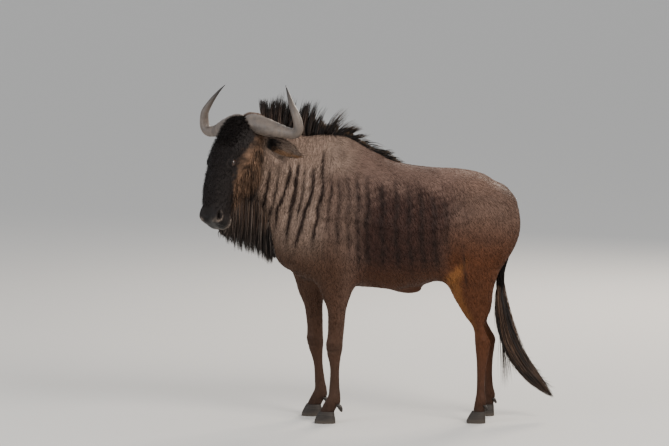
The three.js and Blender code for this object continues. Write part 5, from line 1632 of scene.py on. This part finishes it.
class BULL_OT_tail(bpy.types.Operator):
    """Tail: the short-haired dock and the long black tuft"""

    bl_idname = "bull.tail"
    bl_label = "Tail"

    def execute(self, context):
        colours = maker_colours(context.scene.bull)
        rng = np.random.default_rng(SEED + 3)

        def place(s, angle):
            t = TAIL_DOCK_END * s
            up, _ = tail_up(t)
            r = (np.minimum(TAIL(t)[:, 3], 22) - 3) * (1 - ramp(s, 0.93, 1.0) * 0.8)
            return tail_point(t) - Y * (np.cos(angle) * r * 0.8)[:, None] + up * (np.sin(angle) * r)[:, None]

        bm = bmesh.new()
        sweep(bm, place, 20, 80)
        dock = piece_from(bm, "tail_skin")
        p = places(dock.data)
        tint = mix(colours["rump"], colours["hair"], ramp(-p[:, 2], -1010, -800)[:, None])
        add_tint(dock.data, tint)
        add_number(dock.data, "Bare", np.zeros(len(p)))
        finished(dock, skin_finish(), "coat", "tail_dock")

        count = TAIL_COAT_LOCKS
        s = rng.uniform(0.03, 0.415, count)
        angle = rng.uniform(0, 2 * math.pi, count)
        up, tangent = tail_up(s)
        r = TAIL(s)[:, 3] - 3.5
        normal = unit(-Y * np.cos(angle)[:, None] * 0.8 + up * np.sin(angle)[:, None])
        root = tail_point(s) - Y * (np.cos(angle) * r * 0.8)[:, None] + up * (np.sin(angle) * r)[:, None]
        length = mix(22, 60, ramp(s, 0.25, 0.42)) * rng.uniform(0.8, 1.2, count)
        tip = root + tangent * length[:, None] + normal * (length * rng.uniform(0.02, 0.12, count))[:, None]
        bow = normal * (length * 0.05)[:, None]
        darker = ramp(-root[:, 2] + rng.normal(0, 40, count), -1010, -820)[:, None]
        shade = mix(colours["rump"], colours["hair"], darker)
        shade = shade * rng.uniform(0.75, 1.25, (count, 1))
        # painted shade: each lock of the dock is darker at its root, among the other locks; its tip is a little
        # lighter
        tints = np.stack([shade * 0.7, shade * 1.1], 1)
        width = rng.uniform(2.5, 4.5, count)
        mesh = long_locks("tail_coat", root - normal * 2, tip, bow, normal, width, tints, rings=4)
        finished(linked("tail_coat", mesh), coat_finish("tail_coat", 0.55), "coat")

        count = TAIL_LOCKS
        s = 0.38 + 0.36 * rng.uniform(0, 1, count) ** 0.9
        angle = rng.uniform(0, 2 * math.pi, count)

        def rim(t, share):
            up, _ = tail_up(t)
            way = -Y * np.cos(angle)[:, None] * 0.8 + up * np.sin(angle)[:, None]
            return tail_point(t) + way * share[:, None], unit(way)

        root, radial = rim(s, np.minimum(TAIL(s)[:, 3], 20) * 0.6)
        to = np.minimum(s + rng.uniform(0.14, 0.42, count), 0.93 + 0.07 * rng.uniform(0, 1, count))
        share = rng.uniform(0.1, 1.02, count) ** 0.75
        tip, _ = rim(to, TAIL(to)[:, 3] * share)
        half = (s + to) / 2
        middle, _ = rim(half, TAIL(half)[:, 3] * share * 0.93)
        bow = middle - (root + tip) / 2
        tip = tip + rng.normal(0, 6, (count, 3)) * vec(1, 0.7, 1)
        clump = (to * 40).astype(int) * 12 + (angle / 6.29 * 12).astype(int)
        tip = gathered(tip, clump, rng.uniform(0.1, 0.8, count))
        shade = colours["hair"] * rng.uniform(0.7, 1.9, (count, 1))
        brown = (rng.uniform(0, 1, count) < 0.5)[:, None]
        shade = np.where(brown, rgb(84, 63, 49) * rng.uniform(0.35, 1.25, (count, 1)), shade)
        # loose wisps hang clear below the tuft and stand off behind it
        loose = TAIL_WISPS
        wisp = rng.uniform(0, 1, loose)
        behind = np.arange(loose) % 5 > 1
        top = tail_point(np.where(behind, 0.5 + 0.38 * wisp, 0.56 + 0.16 * wisp))
        top = top + np.where(behind, 22, -26)[:, None] * X + Y * rng.normal(0, 10, loose)[:, None]
        fall = np.stack([500 + 92 * wisp, rng.normal(-4, 12, loose), 142 + 108 * wisp], 1)
        off = top + np.stack([30 + 44 * wisp, 0 * wisp, mix(-70, -34, wisp)], 1)
        fall = np.where(behind[:, None], off, fall) + rng.normal(0, 11, (loose, 3))
        root, tip = np.concatenate([root, top]), np.concatenate([tip, fall])
        sag = np.where(behind, -7, 0)
        bow = np.concatenate([bow, np.stack([rng.normal(4, 6, loose), rng.normal(0, 4, loose), sag], 1)])
        radial = np.concatenate([radial, np.tile(-Y, (loose, 1))])
        shade = np.concatenate([shade, colours["stripe"] * rng.uniform(0.5, 1.3, (loose, 1))])
        width = np.concatenate([rng.uniform(4, 8, count), rng.uniform(1.6, 3, loose)])
        mesh = long_locks("tail_hair", root, tip, bow, radial, width, np.stack([shade, shade * 1.1], 1), rings=7)
        finished(linked("tail_hair", mesh), coat_finish("tail_hair", 0.5, 0.3), "hair", "tail_tuft")
        return {"FINISHED"}


HORN = Rows([
    [0, 14, 0, 0, 32, 38], [1, 34, 0, 0, 40, 45], [2, 70, -5, -3, 43, 47], [3, 137, -20, -21, 41, 43],
    [4, 192, -34, -35, 33, 34], [5, 236, -42, -44, 28, 28], [6, 278, -46, -46, 26, 26],
    [7, 301, -46, -28, 25, 25], [8, 304, -42, 5, 23, 23], [9, 293, -36, 48, 20, 20],
    [10, 269, -41, 86, 15.5, 15.5], [11, 243, -53, 124, 10.5, 10.5], [12, 217, -68, 158, 5.5, 5.5],
    [13, 195, -82, 183, 1.5, 1.5],
])
HORN_END = 13  # the last row's place
HORN_AXES = Axes(vec(-755, -141, 1468), HEAD_LEVEL, HEAD_AXES.side)


class BULL_OT_horns(bpy.types.Operator):
    """Horns with a rough boss and smooth, dark points"""

    bl_idname = "bull.horns"
    bl_label = "Horns"

    def execute(self, context):
        material = horn_finish(context.scene.bull)
        for name, side in SIDES.items():
            def centre(t):
                _, out, ahead, up, _, _ = HORN(t).T
                return HORN_AXES.place(ahead, up, side * out)

            def place(s, angle):
                t = HORN_END * s
                *_, thick, broad = HORN(t).T
                tangent = unit(centre(np.minimum(t + 0.05, HORN_END)) - centre(np.maximum(t - 0.05, 0)))
                across = unit(np.cross(HEAD_AXES.up, tangent))
                up = np.cross(tangent, across)
                rough = 0.8 * np.sin(9.0 * t + 1.5 * np.sin(angle * 2)) * (1 - ramp(t, 4.5, 7))
                rough += 0.6 * np.sin(angle * 7 + 3 * t) * (1 - ramp(t, 3, 6))
                end = 1 - 0.25 * (1 - ramp(s, 0, 0.02))
                wide = (np.cos(angle) * (broad + rough - 0.6) * end)[:, None]
                high = (np.sin(angle) * (thick + rough - 0.6) * end)[:, None]
                return centre(t) + across * wide + up * high

            bm = bmesh.new()
            sweep(bm, place, 40, 150)
            bm.verts.layers.float.new("Along")
            horn = piece_from(bm, "horn_shell_" + name)
            finished(horn, material, "horn", "horn_" + name)
            p = places(horn.data)
            line = centre(np.linspace(0, HORN_END, 61))
            near = np.linalg.norm(p[:, None] - line[None], axis=2).argmin(1) / 60
            horn.data.attributes["Along"].data.foreach_set("value", near.astype(np.float32))
        return {"FINISHED"}


class BULL_OT_eyes(bpy.types.Operator):
    """Dark eyes with a long level pupil"""

    bl_idname = "bull.eyes"
    bl_label = "Eyes"

    def execute(self, context):
        material = eye_finish()
        for name, (centre, out, along, up) in EYES.items():
            bm = bmesh.new()
            bmesh.ops.create_uvsphere(bm, u_segments=72, v_segments=48, radius=1)
            turn = Matrix(np.stack([along, up, out], 1).tolist()).to_4x4()
            bmesh.ops.transform(bm, matrix=turn, verts=bm.verts)
            for v in bm.verts:
                d = np.array(v.co)
                swell = 1 + 0.05 * max(0.0, float(d @ out) - 0.55)
                v.co = metres(centre + d * EYE_RADIUS * swell)
            ball = piece_from(bm, "eyeball_" + name)
            d = places(ball.data) - centre
            x, y = d @ along, d @ up
            r = np.hypot(x, y)
            iris = 1 - ramp(r, 13.5, 15)
            pupil = 1 - ramp(np.hypot(x / 8.5, y / 3.6), 0.85, 1.05)
            tint = mix(np.broadcast_to(rgb(60, 44, 38), d.shape), rgb(58, 34, 20), iris[:, None])
            tint = mix(tint, rgb(6, 5, 6), pupil[:, None])
            add_tint(ball.data, tint)
            finished(ball, material, "eye", "eye_" + name)
        return {"FINISHED"}


HOOF_HEIGHT = 56


class BULL_OT_hooves(bpy.types.Operator):
    """Cloven hooves and the small claws behind each fetlock"""

    bl_idname = "bull.hooves"
    bl_label = "Hooves"

    def execute(self, context):
        material = hoof_finish()
        for name, (_, x, side, _, _, reach) in LEGS.items():
            fore = name.startswith("fore")
            long, wide, slip = (52, 27, 8) if fore else (46, 24, 12)
            middle = vec(x - reach, -side * STANCE, 0)
            claw_rows = Rows([
                [0, long, wide, 0], [12, long * 0.97, wide * 0.98, slip * 0.12],
                [34, long * 0.84, wide * 0.86, slip * 0.55],
                [HOOF_HEIGHT, long * 0.68, wide * 0.68, slip * 1.1],
            ])
            bm = bmesh.new()
            for out in (1, -1):
                def claw(s, angle):
                    height = HOOF_HEIGHT * np.clip((s - 0.1) / 0.8, 0, 1)
                    close = np.clip(np.minimum(s, 1 - s) / 0.1, 0, 1) ** 0.6
                    _, half, broad, back = claw_rows(height).T
                    toe = (1 - np.cos(angle)) / 2
                    ridge = 1 + 0.012 * np.sin(height * 0.9)
                    ahead = back + np.cos(angle) * half * close * ridge
                    wide_at = np.sin(angle) * broad * (1 - 0.4 * toe) * close * ridge
                    return middle + np.stack([ahead, wide_at + out * (broad * 0.78 + 4 * toe * close), height], 1)

                sweep(bm, claw, 40, 40)

            def pad(s, angle):
                size = np.clip(np.minimum(s / 0.15, (1 - s) / 0.1), 0, 1) ** 0.5
                back = mix(16, slip + 2, s) + np.cos(angle) * mix(20, long * 0.64, s) * size
                across = np.sin(angle) * mix(17, wide * 0.92, s) * size
                return middle + np.stack([back, across, mix(12, HOOF_HEIGHT + 1, s)], 1)

            sweep(bm, pad, 24, 16)
            size = 1 if fore else 0.75
            for out in (1, -1):
                claw_at = vec(x + 27 - 4 / size, -side * STANCE + out * 16, 77)

                def dewclaw(s, angle):
                    height, back, radius = (
                        np.interp(s, [0, 0.35, 0.7, 0.9, 1], column)
                        for column in ([16, 4, -11, -20, -23], [-9, 2, 10, 13, 14], [9, 12, 10, 5, 1])
                    )
                    local = np.stack([back + np.cos(angle) * radius, np.sin(angle) * radius * 0.9, height], 1)
                    return claw_at + local * size

                sweep(bm, dewclaw, 16, 18)
            hoof = piece_from(bm, name + "_claws")
            add_number(hoof.data, "Along", np.clip(places(hoof.data)[:, 2] / HOOF_HEIGHT, 0, 1))
            finished(hoof, material, "hoof", name + "_hoof")
        return {"FINISHED"}


CAMERA_AIM, CAMERA_AWAY, CAMERA_RISE, CAMERA_LENS = vec(-321, 0, 970), 14, 5.5, 153.7
FLOOR_RADIUS = 160


class BULL_OT_stage(bpy.types.Operator):
    """Pale floor, soft light and the camera"""

    bl_idname = "bull.stage"
    bl_label = "Stage"

    def execute(self, context):
        bm = bmesh.new()
        bmesh.ops.create_circle(bm, cap_ends=True, radius=FLOOR_RADIUS, segments=64)
        floor = linked("floor", mesh_from(bm, "floor"))
        n = Nodes("floor_pale")
        floor.data.materials.append(n.finish(Base_Color=(0.62, 0.60, 0.57, 1), Roughness=0.9))
        world = bpy.data.worlds.new("studio")
        world.use_nodes = True
        sky = world.node_tree.nodes["Background"].inputs
        sky[0].default_value, sky[1].default_value = (0.93, 0.96, 1.0, 1), 0.75
        context.scene.world = world
        for name, at, size, power, colour in (
            ("key", (4.5, -5.0, 5.5), 4.0, 620, (1.0, 0.95, 0.88)),
            ("rim", (3.0, 5.5, 4.5), 3.0, 420, (1.0, 0.90, 0.78)),
            ("fill", (-5.5, -3.5, 3.0), 4.0, 160, (0.88, 0.94, 1.0)),
        ):
            light = bpy.data.lights.new(name, "AREA")
            light.shape, light.size, light.energy, light.color = "DISK", size, power, colour
            lamp = bpy.data.objects.new(name, light)
            lamp.location = at
            lamp.rotation_euler = (Vector((0, 0, 0.8)) - Vector(at)).to_track_quat("-Z", "Y").to_euler()
            context.scene.collection.objects.link(lamp)
        camera = bpy.data.cameras.new("camera")
        camera.sensor_width, camera.lens = 36, CAMERA_LENS
        camera.clip_end = 400
        eye = bpy.data.objects.new("camera", camera)
        target = Vector(metres(CAMERA_AIM))
        rise = math.radians(CAMERA_RISE)
        eye.location = target + CAMERA_AWAY * Vector((0, -math.cos(rise), math.sin(rise)))
        eye.rotation_euler = (target - eye.location).to_track_quat("-Z", "Y").to_euler()
        context.scene.collection.objects.link(eye)
        context.scene.camera = eye
        return {"FINISHED"}


OPERATORS = (
    BULL_OT_stage, BULL_OT_skin, BULL_OT_coat, BULL_OT_face_hair, BULL_OT_mane, BULL_OT_beard, BULL_OT_tail,
    BULL_OT_horns, BULL_OT_eyes, BULL_OT_hooves,
)


class BULL_PT_panel(bpy.types.Panel):
    """The bull's pieces and settings"""

    bl_idname = "BULL_PT_panel"
    bl_label = "Blue wildebeest bull"
    bl_space_type = "VIEW_3D"
    bl_region_type = "UI"
    bl_category = "Bull"

    def draw(self, context):
        for name in BullSettings.__annotations__:
            self.layout.prop(context.scene.bull, name)
        for operator in OPERATORS:
            self.layout.operator(operator.bl_idname)


CLASSES = (BullSettings, *OPERATORS, BULL_PT_panel)


def register():
    for cls in CLASSES:
        bpy.utils.register_class(cls)
    bpy.types.Scene.bull = PointerProperty(type=BullSettings)


def unregister():
    del bpy.types.Scene.bull
    for cls in reversed(CLASSES):
        bpy.utils.unregister_class(cls)


def main():
    register()
    for operator in OPERATORS:
        group, name = operator.bl_idname.split(".")
        getattr(getattr(bpy.ops, group), name)()


if __name__ == "__main__":
    main()
